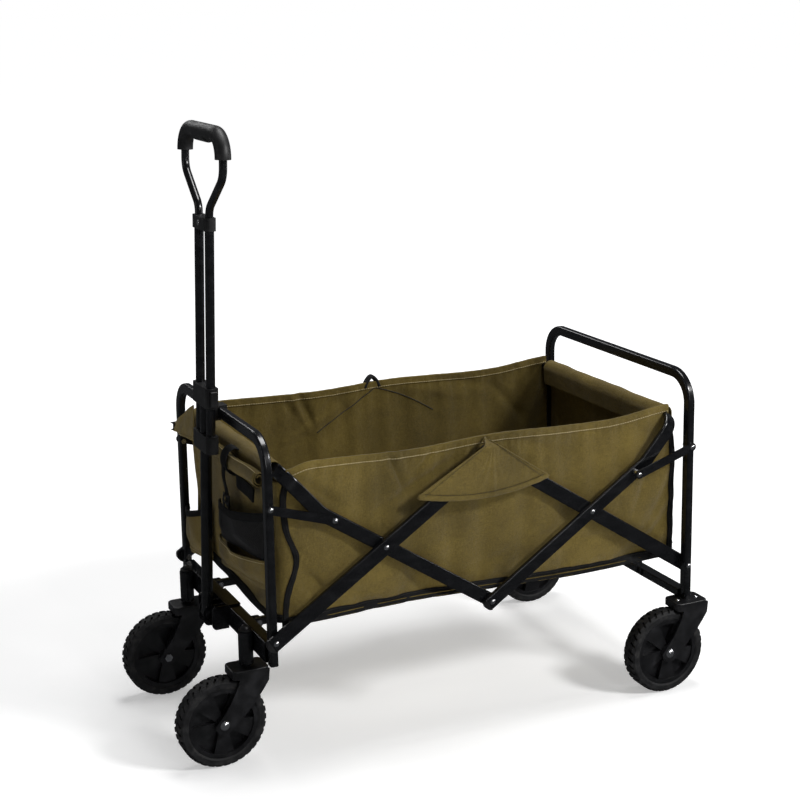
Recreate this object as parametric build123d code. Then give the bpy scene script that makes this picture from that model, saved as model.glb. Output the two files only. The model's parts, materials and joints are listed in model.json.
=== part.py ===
"""Folding camp wagon: two U-shaped end frames, a side scissor that folds them together, a fabric
basket, two swivel casters, two fixed wheels and a telescopic pull handle. Millimetres, +Z up,
-X is the handle end. Modelled about the middle of the wheelbase, then moved so that the origin is
the bottom centre of the whole object's box."""
from build123d import *
import math
import os

# ---- driving dimensions -------------------------------------------------------------------
LEG_HALF = 400.0  # from the wagon's middle to each leg plane, opened out
PIVOT_Z = 232.0  # height of the lower scissor pivots
RISE = 264.0  # height of the top scissor pivots above the lower ones

TUBE_X = 14.0  # end frame tube, along the wagon
TUBE_Y = 19.0  # end frame tube, across the wagon
TUBE_WALL = 1.3
TUBE_CORNER = 4.0
FRAME_BEND = 50.0  # centre-line radius of the end frames' top corners
FRONT_TOP = 567.0  # centre of the front frame's top bar
REAR_TOP = 585.0
FRONT_BOTTOM = 190.0

BAR_WIDTH = 26.0  # scissor bar, in the plane it swings in
BAR_THICK = 9.0
BAR_WALL = 1.2
BAR_END = 8.0  # bar length past its end pivot, before its plug
PLUG_ROUND = 8.0  # how far a plug's rounded cap stands out of the bar
PLUG_DEPTH = 4.0
LAYER_GAP = 1.5  # between neighbouring bars, filled by a washer
INNER_Y = 225.0  # inner face of the inner bars
HOOP_WIDTH = 24.0
HOOP_SETBACK = 12.7  # how much shorter a hoop is than a lever, along its arm
HOOP_CRANK = 26.0  # how far a hoop's end is set up from its arm's line
HOOP_CRANK_RUN = 94.0
HOOP_BEND = 34.0

LINK_PIVOT_Z = 458.0  # height of the short links' pivots on the legs
LINK_REACH = 106.0  # from the scissor's crossing to the link's pivot on the hoop arm
LINK_WIDTH = 15.0
LINK_THICK = 3.0

RIVET_R = 3.0
RIVET_HEAD_R = 4.8
RIVET_HEAD_HEIGHT = 2.6
RIVET_TAIL_R = 4.6
RIVET_TAIL = 1.6
LOOSE = 0.4  # end play under the head of a rivet that something turns on
RUNNING = 0.05  # radial clearance of a pin in a part that turns on it
SLIDING = 0.08  # radial clearance of a tube in its guide
WASHER_R = 9.0
WASHER_THICK = 1.0

WHEEL_R = 77.0
WHEEL_WIDTH = 34.0
RIM_R = 61.0
BARREL_R = 54.0
HUB_R = 13.0
HUB_LENGTH = 37.0
AXLE_R = 4.0
WEB_THICK = 7.0
SPOKES = 5
SPOKE_WIDE = 18.5  # half widths of a spoke at the barrel and at the hub
SPOKE_NARROW = 6.0
SHOULDER = 5.0
BEAD = 1.5  # tyre's chamfer beside the rim, and half the plain strip round its middle
TREAD_SLANT = 24.0
TREAD_GROOVE = 2.1  # half width
TREAD_LUGS = 34
TREAD_DEPTH = 3.0

FORK_INSIDE = 40.0  # between the fork's legs
FORK_PLATE = 4.0
FORK_LENGTH = 66.0  # crown, along the wagon
FORK_TOP = 168.0
CROWN_HEIGHT = 13.0
CASTER_Y = 158.0  # swivel axis from the wagon's middle line
CASTER_TRAIL = 49.0  # axle ahead of the swivel axis, as parked
REAR_TRAIL = 48.0
REAR_WHEEL_Y = 247.0
FORK_CORNER = 10.0
FORK_SKIRT = 26.0  # height of the fork's sides, crown included
FORK_FOOT_R = 16.0  # rounded end of a fork leg, about the axle
SLEEVE_R = 12.5
SLEEVE_TOP = 228.0
STEM_R = 6.0
STEM_TOP = 229.0
CAP_R = 11.0
CAP_RIM = 3.5
CAP_DOME_R = 8.0
CAP_DOME = 7.0
AXLE_HEAD_R = 8.5
AXLE_HEAD = 4.5
NUT_R = 7.5
NUT_HEIGHT = 5.0
SCREW_R = 4.0
SCREW_HEAD = 2.4
SCREW_X = 20.0  # fork screws, either side of the rear leg

CROSSBAR_X = 22.0
CROSSBAR_Z = 36.0
REAR_CROSSBAR_Z = 15.0
CROSSBAR_WALL = 1.5

RAIL_WIDTH = 14.0
RAIL_THICK = 10.0
RAIL_Y = 100.0
RAIL_OVERHANG = 5.0  # rail length past its hinge pin
RAIL_EAR = 3.0  # thickness of the ears that hold a rail's pin
RAIL_PLAY = 0.5
RAIL_PIN_HEAD_R = 5.0
RAIL_PIN_HEAD = 1.5
RAIL_MEET = 6.0  # how far each rail reaches past the wagon's middle

HANDLE_PIVOT_Z = 206.0
HANDLE_LEAN = 1.9  # degrees back from upright, resting in its clip
GRIP_TRAVEL = 170.0  # grip loop up out of the twin tubes
POLE_R = 10.0
TWIN_R = 8.0
TWIN_WALL = 1.1
TWIN_Y = 27.0
GUIDE_LOW = 377.0  # guide on the pole's top, measured up the pole from its pivot
GUIDE_HIGH = 411.0
SLIDER_LOW = 297.0
SLIDER_HIGH = 327.0
COLLAR_LOW = 679.0
COLLAR_HIGH = 701.0
BLOCK_Y = 41.0  # half width of the guide and the slider
BLOCK_X = 11.5
BLOCK_CORNER = 9.0
COLLAR_X = 10.5
COLLAR_Y = 37.5
POLE_WALL = 1.6
ROD_OVERLAP = 60.0  # grip loop's rods left inside the twin tubes, pulled out
NECK_LOW = 716.0  # where the loop's rods start to spread
NECK_HIGH = 774.0
LOOP_RADII = [26, 34, 40]  # the loop's bends, from the rods to its top
LOOP_Y = 98.0
LOOP_TOP = 843.0
GRIP_R = 13.5
GRIP_ENDS = 804.0
GRIP_BEND = 38.0
GRIP_BELLY = 66.0  # length of the fuller middle
BUTTON_R = 5.0
BUTTON_PLAY = 0.3
KEY_HALF = 6.0
KEY_PLAY = 0.4
KEY_DEPTH = 3.5
BRACKET_Y = 40.0  # half width of the pole's bracket
BRACKET_WALL = 3.0
CHEEK_REACH = 30.0  # the bracket's sides, ahead of the crossbar
LUG_REACH = 37.0
LUG_IN = 10.5  # lugs, from the wagon's middle line
LUG_OUT = 14.0
LUG_HEAD_R = 7.0
LUG_HEAD = 2.25  # half height of the pivot bolt's heads
CLIP_OUT = 13.0  # handle clip, about the front top bar
CLIP_Y = 12.0
CLIP_BORE_X = 7.0
CLIP_BORE_Z = 9.5
CRADLE_WALL = 3.5
CRADLE_HALF = 9.0

BASKET_Y = 221.0  # outer face of the side walls
BASKET_BOTTOM = 237.0
BASKET_TOP = 523.0
FABRIC = 3.0
HOOP_CLEAR = 1.5  # round the hoops where they pass through the basket's sides

# ---- derived dimensions -------------------------------------------------------------------
ALPHA = math.degrees(math.atan2(RISE, LEG_HALF))  # lever steepness, opened out
LEVER = math.hypot(LEG_HALF, RISE)
CROSSING = LEVER / 2  # from either end of a bar to the scissor's crossing
OUTER_Y = INNER_Y + BAR_THICK + LAYER_GAP  # inner face of the outer bars
FRONT_LEG_Y = OUTER_Y - LAYER_GAP - TUBE_Y / 2
REAR_LEG_Y = OUTER_Y + TUBE_Y / 2
REAR_LEG_OUT = REAR_LEG_Y + TUBE_Y / 2
REAR_BOTTOM = FORK_TOP
FRONT_LEG_OUT = FRONT_LEG_Y + TUBE_Y / 2
STEM_X = -(LEG_HALF + CROSSBAR_X / 2 + SLEEVE_R)
CASTER_AXLE_X = STEM_X - CASTER_TRAIL
REAR_AXLE_X = LEG_HALF - REAR_TRAIL
FORK_OUT = FORK_INSIDE / 2 + FORK_PLATE
HANDLE_PIVOT_X = STEM_X - 13.5
BASKET_X = LEG_HALF - TUBE_X / 2 - 1.5
FLOOR_HINGE_X = LEG_HALF - CROSSBAR_X / 2 - 9
FLOOR_HINGE_Z = 216.0
REAR_RAIL_Y = RAIL_Y + RAIL_THICK + 1.5
ROD_R = TWIN_R - TWIN_WALL - SLIDING
FRONT_END = CASTER_AXLE_X - WHEEL_R
REAR_END = LEG_HALF + FORK_LENGTH / 2
ORIGIN_X = (FRONT_END + REAR_END) / 2

UP = (Align.CENTER, Align.CENTER, Align.MIN)


# ---- shape helpers ------------------------------------------------------------------------
def box(x, y, z):
    """Box given by its (low, high) extents along each axis."""
    size = (x[1] - x[0], y[1] - y[0], z[1] - z[0])
    return Pos((x[0] + x[1]) / 2, (y[0] + y[1]) / 2, (z[0] + z[1]) / 2) * Box(*size)


def along_y(radius, low, high, x=0.0, z=0.0):
    """Cylinder across the wagon between two y values."""
    return Pos(x, (low + high) / 2, z) * Rot(90, 0, 0) * Cylinder(radius, high - low)


def along_z(radius, low, high, x=0.0, y=0.0):
    return Pos(x, y, low) * Cylinder(radius, high - low, align=UP)


def dome(radius, height):
    """Round rivet head standing on its flat face."""
    ball = (radius**2 + height**2) / (2 * height)
    return Pos(0, 0, height - ball) * Sphere(ball) & Cylinder(radius + 1, height, align=UP)


def group(*shapes):
    """Separate solids that share one node."""
    return Compound([solid for shape in shapes for solid in shape.solids()])


def both_sides(shape):
    return group(shape, mirror(shape, about=Plane.XZ))


def other_side(shape):
    return group(mirror(shape, about=Plane.XZ))


def tube_section(width, thick, corner, wall):
    inside = RectangleRounded(width - 2 * wall, thick - 2 * wall, max(corner - wall, 0.4))
    return RectangleRounded(width, thick, corner) - inside


def bar(length, width=BAR_WIDTH, thick=BAR_THICK, wall=BAR_WALL):
    """Rectangular tube along +X, from BAR_END before its first pivot to BAR_END past its last."""
    section = Plane.YZ * tube_section(thick, width, 2.5, wall)
    return Pos(-BAR_END, 0, 0) * extrude(section, length + 2 * BAR_END)


def end_plug(width=BAR_WIDTH, thick=BAR_THICK, wall=BAR_WALL):
    """Plastic plug for a bar's end: a rounded cap before x = 0 and a body along +X."""
    radius = ((width / 2) ** 2 + PLUG_ROUND**2) / (2 * PLUG_ROUND)
    cap = box((-PLUG_ROUND, 0), (-thick / 2, thick / 2), (-width / 2, width / 2))
    cap &= along_y(radius, -thick, thick, radius - PLUG_ROUND)
    body = Plane.YZ * RectangleRounded(thick - 2 * wall, width - 2 * wall, 2.0)
    return cap + extrude(body, PLUG_DEPTH)


def slope(x, y, z, angle):
    """Places a shape drawn along +X so that it runs from (x, y, z) at an angle above +X."""
    return Pos(x, y, z) * Rot(0, -angle, 0)


def rivet(x, z, low, high):
    """Rivet across +Y: domed head past high, flat tail before low."""
    shank = along_y(RIVET_R, low - RIVET_TAIL, high + 0.5)
    crown = Pos(0, high, 0) * Rot(-90, 0, 0) * dome(RIVET_HEAD_R, RIVET_HEAD_HEIGHT)
    return Pos(x, 0, z) * (shank + crown + along_y(RIVET_TAIL_R, low - RIVET_TAIL, low))


def washer(x, z, low, radius=WASHER_R, hole=RIVET_R + RUNNING, thick=WASHER_THICK):
    ring = along_y(radius, low, low + thick) - along_y(hole, low - 1, low + thick + 1)
    return Pos(x, 0, z) * ring


# ---- scissor geometry ---------------------------------------------------------------------
def on_slope(distance, start_x, direction):
    """Point on a bar that leaves (start_x, PIVOT_Z) towards +X (1) or -X (-1)."""
    run = distance * math.cos(math.radians(ALPHA)) * direction
    return start_x + run, PIVOT_Z + distance * math.sin(math.radians(ALPHA))


CROSS_X, CROSS_Z = on_slope(CROSSING, 0, 1)
LINK_END_X, LINK_END_Z = on_slope(CROSSING + LINK_REACH, 0, 1)
TOP_Z = PIVOT_Z + RISE


# ---- end frames ---------------------------------------------------------------------------
def end_frame(x, half, top, bottom):
    """Inverted U of rounded rectangular tube."""
    points = [(x, -half, bottom), (x, -half, top), (x, half, top), (x, half, bottom)]
    path = FilletPolyline(*points, radius=FRAME_BEND)
    section = tube_section(TUBE_X, TUBE_Y, TUBE_CORNER, TUBE_WALL)
    start = Plane(origin=points[0], x_dir=(1, 0, 0), z_dir=(0, 0, 1))
    return sweep(start * section, path=path)


def leg_holes(x, y, heights):
    span = TUBE_Y / 2 + 1
    holes = [along_y(RIVET_R, y - span, y + span, x, z) for z in heights]
    return holes + [mirror(h, about=Plane.XZ) for h in holes]


def crossbar(x, half, low, high):
    section = tube_section(CROSSBAR_X, high - low, 2.5, CROSSBAR_WALL)
    start = Plane(origin=(x, -half, (low + high) / 2), x_dir=(1, 0, 0), z_dir=(0, 1, 0))
    return extrude(start * section, 2 * half)


def leg_plug(x, y, bottom):
    flange = Pos(x, y, bottom - 2) * extrude(RectangleRounded(TUBE_X, TUBE_Y, TUBE_CORNER), 2)
    inner = RectangleRounded(TUBE_X - 2 * TUBE_WALL, TUBE_Y - 2 * TUBE_WALL, 2.7)
    return flange + Pos(x, y, bottom) * extrude(inner, 12)


# ---- scissor ------------------------------------------------------------------------------
def lever(start_x, direction, low_face):
    """Straight bar from a lower pivot to the top pivot, pierced at both ends and the middle."""
    blank = Pos(0, low_face + BAR_THICK / 2, 0) * bar(LEVER)
    angle = ALPHA if direction > 0 else 180 - ALPHA
    return slope(start_x, 0, PIVOT_Z, angle) * blank


def lever_plugs(start_x, direction, low_face):
    centre = low_face + BAR_THICK / 2
    angle = ALPHA if direction > 0 else 180 - ALPHA
    near = Pos(-BAR_END, centre, 0) * end_plug()
    far = Pos(LEVER + BAR_END, centre, 0) * Rot(0, 180, 0) * end_plug()
    return slope(start_x, 0, PIVOT_Z, angle) * group(near, far)


def hoop_points(arm_y):
    end = LEVER - HOOP_SETBACK
    start = end - HOOP_CRANK_RUN
    return [
        (-BAR_END, -arm_y, 0),
        (start, -arm_y, 0),
        (end, -arm_y, HOOP_CRANK),
        (end, arm_y, HOOP_CRANK),
        (start, arm_y, 0),
        (-BAR_END, arm_y, 0),
    ]


def hoop(direction, low_face, extra=0.0, hollow=True):
    """Bent tube: two arms from the bottom middle pivots up to a cross tube in the basket's rim."""
    arm_y = low_face + BAR_THICK / 2
    points = hoop_points(arm_y)
    radii = [70.0, HOOP_BEND, HOOP_BEND, 70.0]
    path = FilletPolyline(*points, radius=radii)
    width, thick = HOOP_WIDTH + 2 * extra, BAR_THICK + 2 * extra
    section = RectangleRounded(thick, width, 3.0)
    if hollow:
        section = tube_section(thick, width, 3.0, BAR_WALL)
    start = Plane(origin=points[0], x_dir=(0, 1, 0), z_dir=(1, 0, 0))
    shape = sweep(start * section, path=path)
    turn = 180 - ALPHA if direction < 0 else ALPHA
    if direction < 0:
        shape = mirror(shape, about=Plane.XY)
    return slope(0, 0, PIVOT_Z, turn) * shape


def hoop_plugs(direction, low_face):
    turn = ALPHA if direction > 0 else 180 - ALPHA
    plug = Pos(-BAR_END, low_face + BAR_THICK / 2, 0) * end_plug(HOOP_WIDTH)
    return slope(0, 0, PIVOT_Z, turn) * plug


def flat_link(ax, az, bx, bz, low):
    """Flat bar with round ends between two pivots."""
    length = math.hypot(bx - ax, bz - az)
    outline = SlotCenterToCenter(length, LINK_WIDTH)
    plate = extrude(Plane.XZ * Pos(length / 2, 0) * outline, -LINK_THICK)
    plate = Pos(0, low, 0) * plate
    return slope(ax, 0, az, math.degrees(math.atan2(bz - az, bx - ax))) * plate


# ---- wheels and forks ---------------------------------------------------------------------
def ring(outer, inner, width):
    half = width / 2
    return along_y(outer, -half, half) - along_y(inner, -half - 1, half + 1)


def rim():
    """Moulded wheel: barrel, hub, web and wedge-shaped spokes that widen towards the barrel."""
    body = ring(RIM_R, BARREL_R, WHEEL_WIDTH - 4)
    body += along_y(RIM_R - 1, -WEB_THICK / 2, WEB_THICK / 2)
    body += along_y(HUB_R, -HUB_LENGTH / 2, HUB_LENGTH / 2)
    wide, narrow = SPOKE_WIDE, SPOKE_NARROW
    outline = Polygon((5, -narrow), (BARREL_R + 2, -wide), (BARREL_R + 2, wide), (5, narrow), align=None)
    spoke = extrude(Plane.XZ * outline, (WHEEL_WIDTH - 9) / 2, both=True)
    for index in range(SPOKES):
        body += Rot(0, 360 / SPOKES * index + 90, 0) * spoke
    return body - along_y(AXLE_R + RUNNING, -HUB_LENGTH, HUB_LENGTH)


def tyre():
    """Tyre with a shouldered section and staggered tread blocks."""
    half = WHEEL_WIDTH / 2
    outline = Polygon(
        (RIM_R, -half + BEAD),
        (RIM_R + 3, -half),
        (WHEEL_R - SHOULDER, -half),
        (WHEEL_R, -half + SHOULDER),
        (WHEEL_R, half - SHOULDER),
        (WHEEL_R - SHOULDER, half),
        (RIM_R + 3, half),
        (RIM_R, half - BEAD),
        align=None,
    )
    body = revolve(outline, axis=Axis.Y)
    step = 360 / TREAD_LUGS
    cuts = []
    for index in range(TREAD_LUGS):
        for side in (-1, 1):
            turn = step * (index + (0.25 if side > 0 else -0.25))
            depth = (WHEEL_R - TREAD_DEPTH, WHEEL_R + 2)
            across = (BEAD, half + 2) if side > 0 else (-half - 2, -BEAD)
            groove = Pos(0, sum(across) / 2, 0) * Rot(side * TREAD_SLANT, 0, 0) * Pos(0, -sum(across) / 2, 0)
            cuts.append(Rot(0, turn, 0) * groove * box(depth, across, (-TREAD_GROOVE, TREAD_GROOVE)))
    return body - cuts


def fork_leg(axle_x):
    """Side plate of a fork, centred on the swivel axis, swept forward to the axle."""
    front_top = (-FORK_LENGTH / 2 + 17, FORK_TOP - 4)
    back_top = (FORK_LENGTH / 2, FORK_TOP - 4)
    back_knee = (FORK_LENGTH / 2 - 2, FORK_TOP - 24)
    front_low = (axle_x - FORK_FOOT_R, WHEEL_R + 1)
    back_low = (axle_x + FORK_FOOT_R * 0.86, WHEEL_R - FORK_FOOT_R * 0.5)
    edges = [
        ThreePointArc(front_top, (-32.5, WHEEL_R + 46), front_low),
        ThreePointArc(front_low, (axle_x - 4, WHEEL_R - FORK_FOOT_R + 0.5), back_low),
        ThreePointArc(back_low, (7.0, WHEEL_R + 34), back_knee),
        Line(back_knee, back_top),
        Line(back_top, front_top),
    ]
    outline = make_face(Plane.XZ * Curve(edges))
    return extrude(outline, -FORK_PLATE)


def fork(axle_x):
    """Boxy crown with two legs about a vertical axis through x = y = 0; axle at axle_x."""
    footprint = RectangleRounded(FORK_LENGTH, 2 * FORK_OUT, FORK_CORNER)
    crown = extrude(footprint, CROWN_HEIGHT)
    crown = fillet(crown.edges().group_by(Axis.Z)[-1], 2.5)
    shape = Pos(0, 0, FORK_TOP - CROWN_HEIGHT) * crown
    skirt = Pos(0, 0, FORK_TOP - FORK_SKIRT) * extrude(footprint, FORK_SKIRT - CROWN_HEIGHT / 2)
    skirt -= box((-FORK_LENGTH, FORK_LENGTH), (-FORK_INSIDE / 2, FORK_INSIDE / 2), (WHEEL_R, FORK_TOP))
    skirt -= box((-FORK_LENGTH, -12), (-FORK_OUT, FORK_OUT), (WHEEL_R, FORK_TOP - CROWN_HEIGHT - 2))
    leg = Pos(0, FORK_INSIDE / 2, 0) * fork_leg(axle_x)
    far_leg = Pos(0, -FORK_INSIDE - FORK_PLATE, 0) * leg
    return shape + skirt + leg + far_leg - along_y(AXLE_R, -FORK_OUT - 1, FORK_OUT + 1, axle_x, WHEEL_R)


def axle_bolt():
    """Axle across the fork with a domed head outside and a nut inside, and two hub washers."""
    bolt = along_y(AXLE_R, -FORK_OUT - 3, FORK_OUT + 1)
    bolt += Pos(0, FORK_OUT, 0) * Rot(-90, 0, 0) * dome(AXLE_HEAD_R, AXLE_HEAD)
    nut = extrude(Plane.XZ * RegularPolygon(NUT_R, 6), NUT_HEIGHT)
    return bolt + Pos(0, -FORK_OUT, 0) * nut


# ---- handle -------------------------------------------------------------------------------
def in_handle(shape):
    """Places a shape drawn with the pole along +Z from its pivot."""
    return Pos(HANDLE_PIVOT_X, 0, HANDLE_PIVOT_Z) * Rot(0, HANDLE_LEAN, 0) * shape


def plate(low, high, half_x, half_y, corner, centre_x=0.0):
    """Block around the pole, between two distances up it."""
    return Pos(centre_x, 0, low) * extrude(RectangleRounded(2 * half_x, 2 * half_y, corner), high - low)


def twin(radius, low, high):
    return both_sides(along_z(radius, low, high, 0, TWIN_Y))


def pole():
    outer = along_z(POLE_R, 0, GUIDE_HIGH - 4) + along_y(POLE_R, -POLE_R + 0.5, POLE_R - 0.5)
    outer = outer - along_z(POLE_R - POLE_WALL, POLE_R + 4, GUIDE_HIGH)
    return outer - along_y(AXLE_R + RUNNING, -2 * POLE_R, 2 * POLE_R)


def pole_guide():
    """Bracket fixed on the pole's top that the twin tubes slide through."""
    body = plate(GUIDE_LOW, GUIDE_HIGH, BLOCK_X, BLOCK_Y, BLOCK_CORNER)
    body -= along_z(POLE_R, GUIDE_LOW - 1, GUIDE_HIGH - 4)
    return body - twin(TWIN_R + SLIDING, GUIDE_LOW - 1, GUIDE_HIGH + 1)


def slider():
    """Bracket fixed on the twin tubes' lower ends that slides on the pole."""
    body = plate(SLIDER_LOW, SLIDER_HIGH, BLOCK_X, BLOCK_Y, BLOCK_CORNER)
    body -= along_z(POLE_R + SLIDING, SLIDER_LOW - 1, SLIDER_HIGH + 1)
    return body - twin(TWIN_R, SLIDER_LOW + 3, SLIDER_HIGH + 1)


def twin_tubes():
    bore = TWIN_R - TWIN_WALL
    return twin(TWIN_R, SLIDER_LOW + 3, COLLAR_HIGH - 4) - twin(bore, SLIDER_LOW, COLLAR_HIGH)


def loop_path():
    rod_bottom = COLLAR_LOW - GRIP_TRAVEL - ROD_OVERLAP
    side = [(0, TWIN_Y, rod_bottom), (0, TWIN_Y, NECK_LOW), (0, LOOP_Y, NECK_HIGH), (0, LOOP_Y, LOOP_TOP)]
    points = side + [(0, -y, z) for _, y, z in reversed(side)]
    return FilletPolyline(*points, radius=LOOP_RADII + LOOP_RADII[::-1]), side[0]


def loop_rod():
    path, start = loop_path()
    return sweep(Plane(origin=start, z_dir=(0, 0, 1)) * Circle(ROD_R), path=path)


def grip():
    """Moulded grip over the loop's top: a thick arch with a fuller middle and open ends."""
    points = [(0, LOOP_Y, GRIP_ENDS), (0, LOOP_Y, LOOP_TOP), (0, -LOOP_Y, LOOP_TOP), (0, -LOOP_Y, GRIP_ENDS)]
    path = FilletPolyline(*points, radius=GRIP_BEND)
    start = Plane(origin=points[0], z_dir=(0, 0, 1))
    solid = sweep(start * Circle(GRIP_R), path=path)
    belly = Pos(0, 0, LOOP_TOP - 5) * Rot(90, 0, 0) * Cylinder(GRIP_R - 1, GRIP_BELLY)
    solid = solid + fillet(belly.edges(), 5)
    whole, first = loop_path()
    bore = Plane(origin=first, z_dir=(0, 0, 1)) * Circle(ROD_R)
    return solid - sweep(bore, path=whole)


def collar():
    """Clamp at the twin tubes' tops that locks the grip loop's rods."""
    body = plate(COLLAR_LOW, COLLAR_HIGH, COLLAR_X, COLLAR_Y, BLOCK_CORNER)
    body -= twin(TWIN_R, COLLAR_LOW - 1, COLLAR_HIGH - 4)
    body -= twin(ROD_R + SLIDING, COLLAR_LOW, COLLAR_HIGH + 1)
    middle = (COLLAR_LOW + COLLAR_HIGH) / 2
    hole = Cylinder(BUTTON_R + BUTTON_PLAY, COLLAR_X + 3, align=UP)
    return body - Pos(0, 0, middle) * Rot(0, -90, 0) * hole


def button(radius, length, rise):
    """Push button along -X with a domed face, its inner end at x = 0."""
    return Rot(0, -90, 0) * (Cylinder(radius, length, align=UP) + Pos(0, 0, length) * dome(radius, rise))


def handle_clip():
    """Clamp round the front top bar with an open cradle for the pole."""
    grab_z = FRONT_TOP - HANDLE_PIVOT_Z
    grab = (grab_z - CRADLE_HALF, grab_z + CRADLE_HALF)
    bar_bore = (FRONT_TOP - CLIP_BORE_Z, FRONT_TOP + CLIP_BORE_Z)
    outside = (FRONT_TOP - CLIP_OUT, FRONT_TOP + CLIP_OUT - 0.5)
    clamp = box((-LEG_HALF - CLIP_OUT, -LEG_HALF + CLIP_OUT - 3), (-CLIP_Y, CLIP_Y), outside)
    clamp -= box((-LEG_HALF - CLIP_BORE_X, -LEG_HALF + CLIP_BORE_X), (-CLIP_Y, CLIP_Y), bar_bore)
    cradle = along_z(POLE_R + CRADLE_WALL, *grab) - box((-2 * POLE_R, 0), (-2 * POLE_R, 2 * POLE_R), grab)
    neck = box((8, 15), (-POLE_R, POLE_R), grab)
    return clamp + in_handle(cradle + neck) - in_handle(along_z(POLE_R + KEY_PLAY, *grab))


def handle_bracket():
    """Channel on the front crossbar with two lugs that hold the pole's pivot bolt."""
    back_x = -LEG_HALF - CROSSBAR_X / 2
    across = (-BRACKET_Y, BRACKET_Y)
    low, high = FRONT_BOTTOM - BRACKET_WALL, FRONT_BOTTOM + CROSSBAR_Z + BRACKET_WALL
    shape = box((back_x - BRACKET_WALL, back_x), across, (low, high))
    shape += box((back_x, back_x + CROSSBAR_X), across, (high - BRACKET_WALL, high))
    for side in (-1, 1):
        walls = sorted((side * (BRACKET_Y - BRACKET_WALL), side * BRACKET_Y))
        cheek = box((back_x - CHEEK_REACH, back_x), walls, (low, high))
        walls = sorted((side * LUG_IN, side * LUG_OUT))
        lug = box((back_x - LUG_REACH, back_x), walls, (low, high - 2 * BRACKET_WALL))
        outer_edge = cheek.edges().filter_by(Axis.Y).group_by(Axis.X)[0]
        shape += fillet(outer_edge, 8) + fillet(lug.edges().filter_by(Axis.Y).group_by(Axis.X)[0], 10)
    shape += box((back_x - CHEEK_REACH + 6, back_x), across, (low, low + BRACKET_WALL))
    return shape - along_y(AXLE_R, -2 * POLE_R, 2 * POLE_R, HANDLE_PIVOT_X, HANDLE_PIVOT_Z)


# ---- floor rails --------------------------------------------------------------------------
def rail(y, length):
    section = Plane.YZ * tube_section(RAIL_THICK, RAIL_WIDTH, 2.0, BAR_WALL)
    tube = Pos(-RAIL_OVERHANG, 0, 0) * extrude(section, length + RAIL_OVERHANG)
    return Pos(0, y, 0) * tube - along_y(RIVET_R + RUNNING, y - RAIL_THICK, y + RAIL_THICK)


def rail_ears(y):
    """Two ears behind the front crossbar either side of a rail."""
    face = -LEG_HALF + CROSSBAR_X / 2
    shapes = []
    for low in (y - RAIL_THICK / 2 - RAIL_PLAY - RAIL_EAR, y + RAIL_THICK / 2 + RAIL_PLAY):
        ear = box((face, -FLOOR_HINGE_X + 7), (low, low + RAIL_EAR), (FLOOR_HINGE_Z - 8, FLOOR_HINGE_Z + 8))
        ear = fillet(ear.edges().filter_by(Axis.Y).group_by(Axis.X)[-1], 6)
        shapes.append(ear - along_y(RIVET_R, low - 1, low + RAIL_EAR + 1, -FLOOR_HINGE_X, FLOOR_HINGE_Z))
    return shapes


def rail_pin(y):
    half = RAIL_THICK / 2 + RAIL_PLAY + RAIL_EAR
    end = half + RAIL_PIN_HEAD
    pin = along_y(RIVET_R, y - end, y + end)
    heads = [along_y(RAIL_PIN_HEAD_R, y + half, y + end), along_y(RAIL_PIN_HEAD_R, y - end, y - half)]
    return Pos(-FLOOR_HINGE_X, 0, FLOOR_HINGE_Z) * (pin + heads)


# ---- the parts, by the body they belong to ------------------------------------------------
def pierce(shape, radius, low, spots):
    """Cuts holes across one bar layer, on both sides of the wagon."""
    for x, z in spots:
        hole = along_y(radius, low - 1, low + BAR_THICK + 1, x, z)
        shape = shape - hole - mirror(hole, about=Plane.XZ)
    return shape


def frames(parts):
    spots = [PIVOT_Z, LINK_PIVOT_Z]
    front = end_frame(-LEG_HALF, FRONT_LEG_Y, FRONT_TOP, FRONT_BOTTOM)
    rear = end_frame(LEG_HALF, REAR_LEG_Y, REAR_TOP, REAR_BOTTOM)
    parts["front_frame"] = front - leg_holes(-LEG_HALF, FRONT_LEG_Y, spots)
    parts["rear_frame"] = rear - leg_holes(LEG_HALF, REAR_LEG_Y, spots)
    bar_half = FRONT_LEG_Y - TUBE_Y / 2
    front = crossbar(-LEG_HALF, bar_half, FRONT_BOTTOM, FRONT_BOTTOM + CROSSBAR_Z)
    rear = crossbar(LEG_HALF, REAR_LEG_Y - TUBE_Y / 2, REAR_BOTTOM, REAR_BOTTOM + REAR_CROSSBAR_Z)
    ears = [ear for side in (-1, 1) for ear in rail_ears(side * RAIL_Y)]
    parts["front_crossbar"] = group(front, *ears)
    ears = [ear for side in (-1, 1) for ear in rail_ears(side * REAR_RAIL_Y)]
    posts = [rear_ear_post(ear) for ear in ears]
    parts["rear_crossbar"] = group(rear, *posts)
    parts["front_leg_plugs"] = both_sides(leg_plug(-LEG_HALF, FRONT_LEG_Y, FRONT_BOTTOM))
    sleeve = along_z(SLEEVE_R, FORK_TOP + 3.5, SLEEVE_TOP) - along_z(STEM_R + RUNNING, FORK_TOP, STEM_TOP)
    parts["caster_sleeves"] = both_sides(Pos(STEM_X, CASTER_Y, 0) * sleeve)


def rear_ear_post(ear):
    """Rear ears are the front ones turned about, standing on a strap over the lower crossbar."""
    shape = mirror(ear, about=Plane.YZ)
    spot = shape.bounding_box()
    face = LEG_HALF - CROSSBAR_X / 2
    strap = box((face - 3, face), (spot.min.Y, spot.max.Y), (REAR_BOTTOM + 4, spot.max.Z))
    room = (spot.min.Y - 1, spot.max.Y + 1)
    return shape - box((face - 3, face + 9), room, (REAR_BOTTOM, spot.max.Z + 1)) + strap


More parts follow.
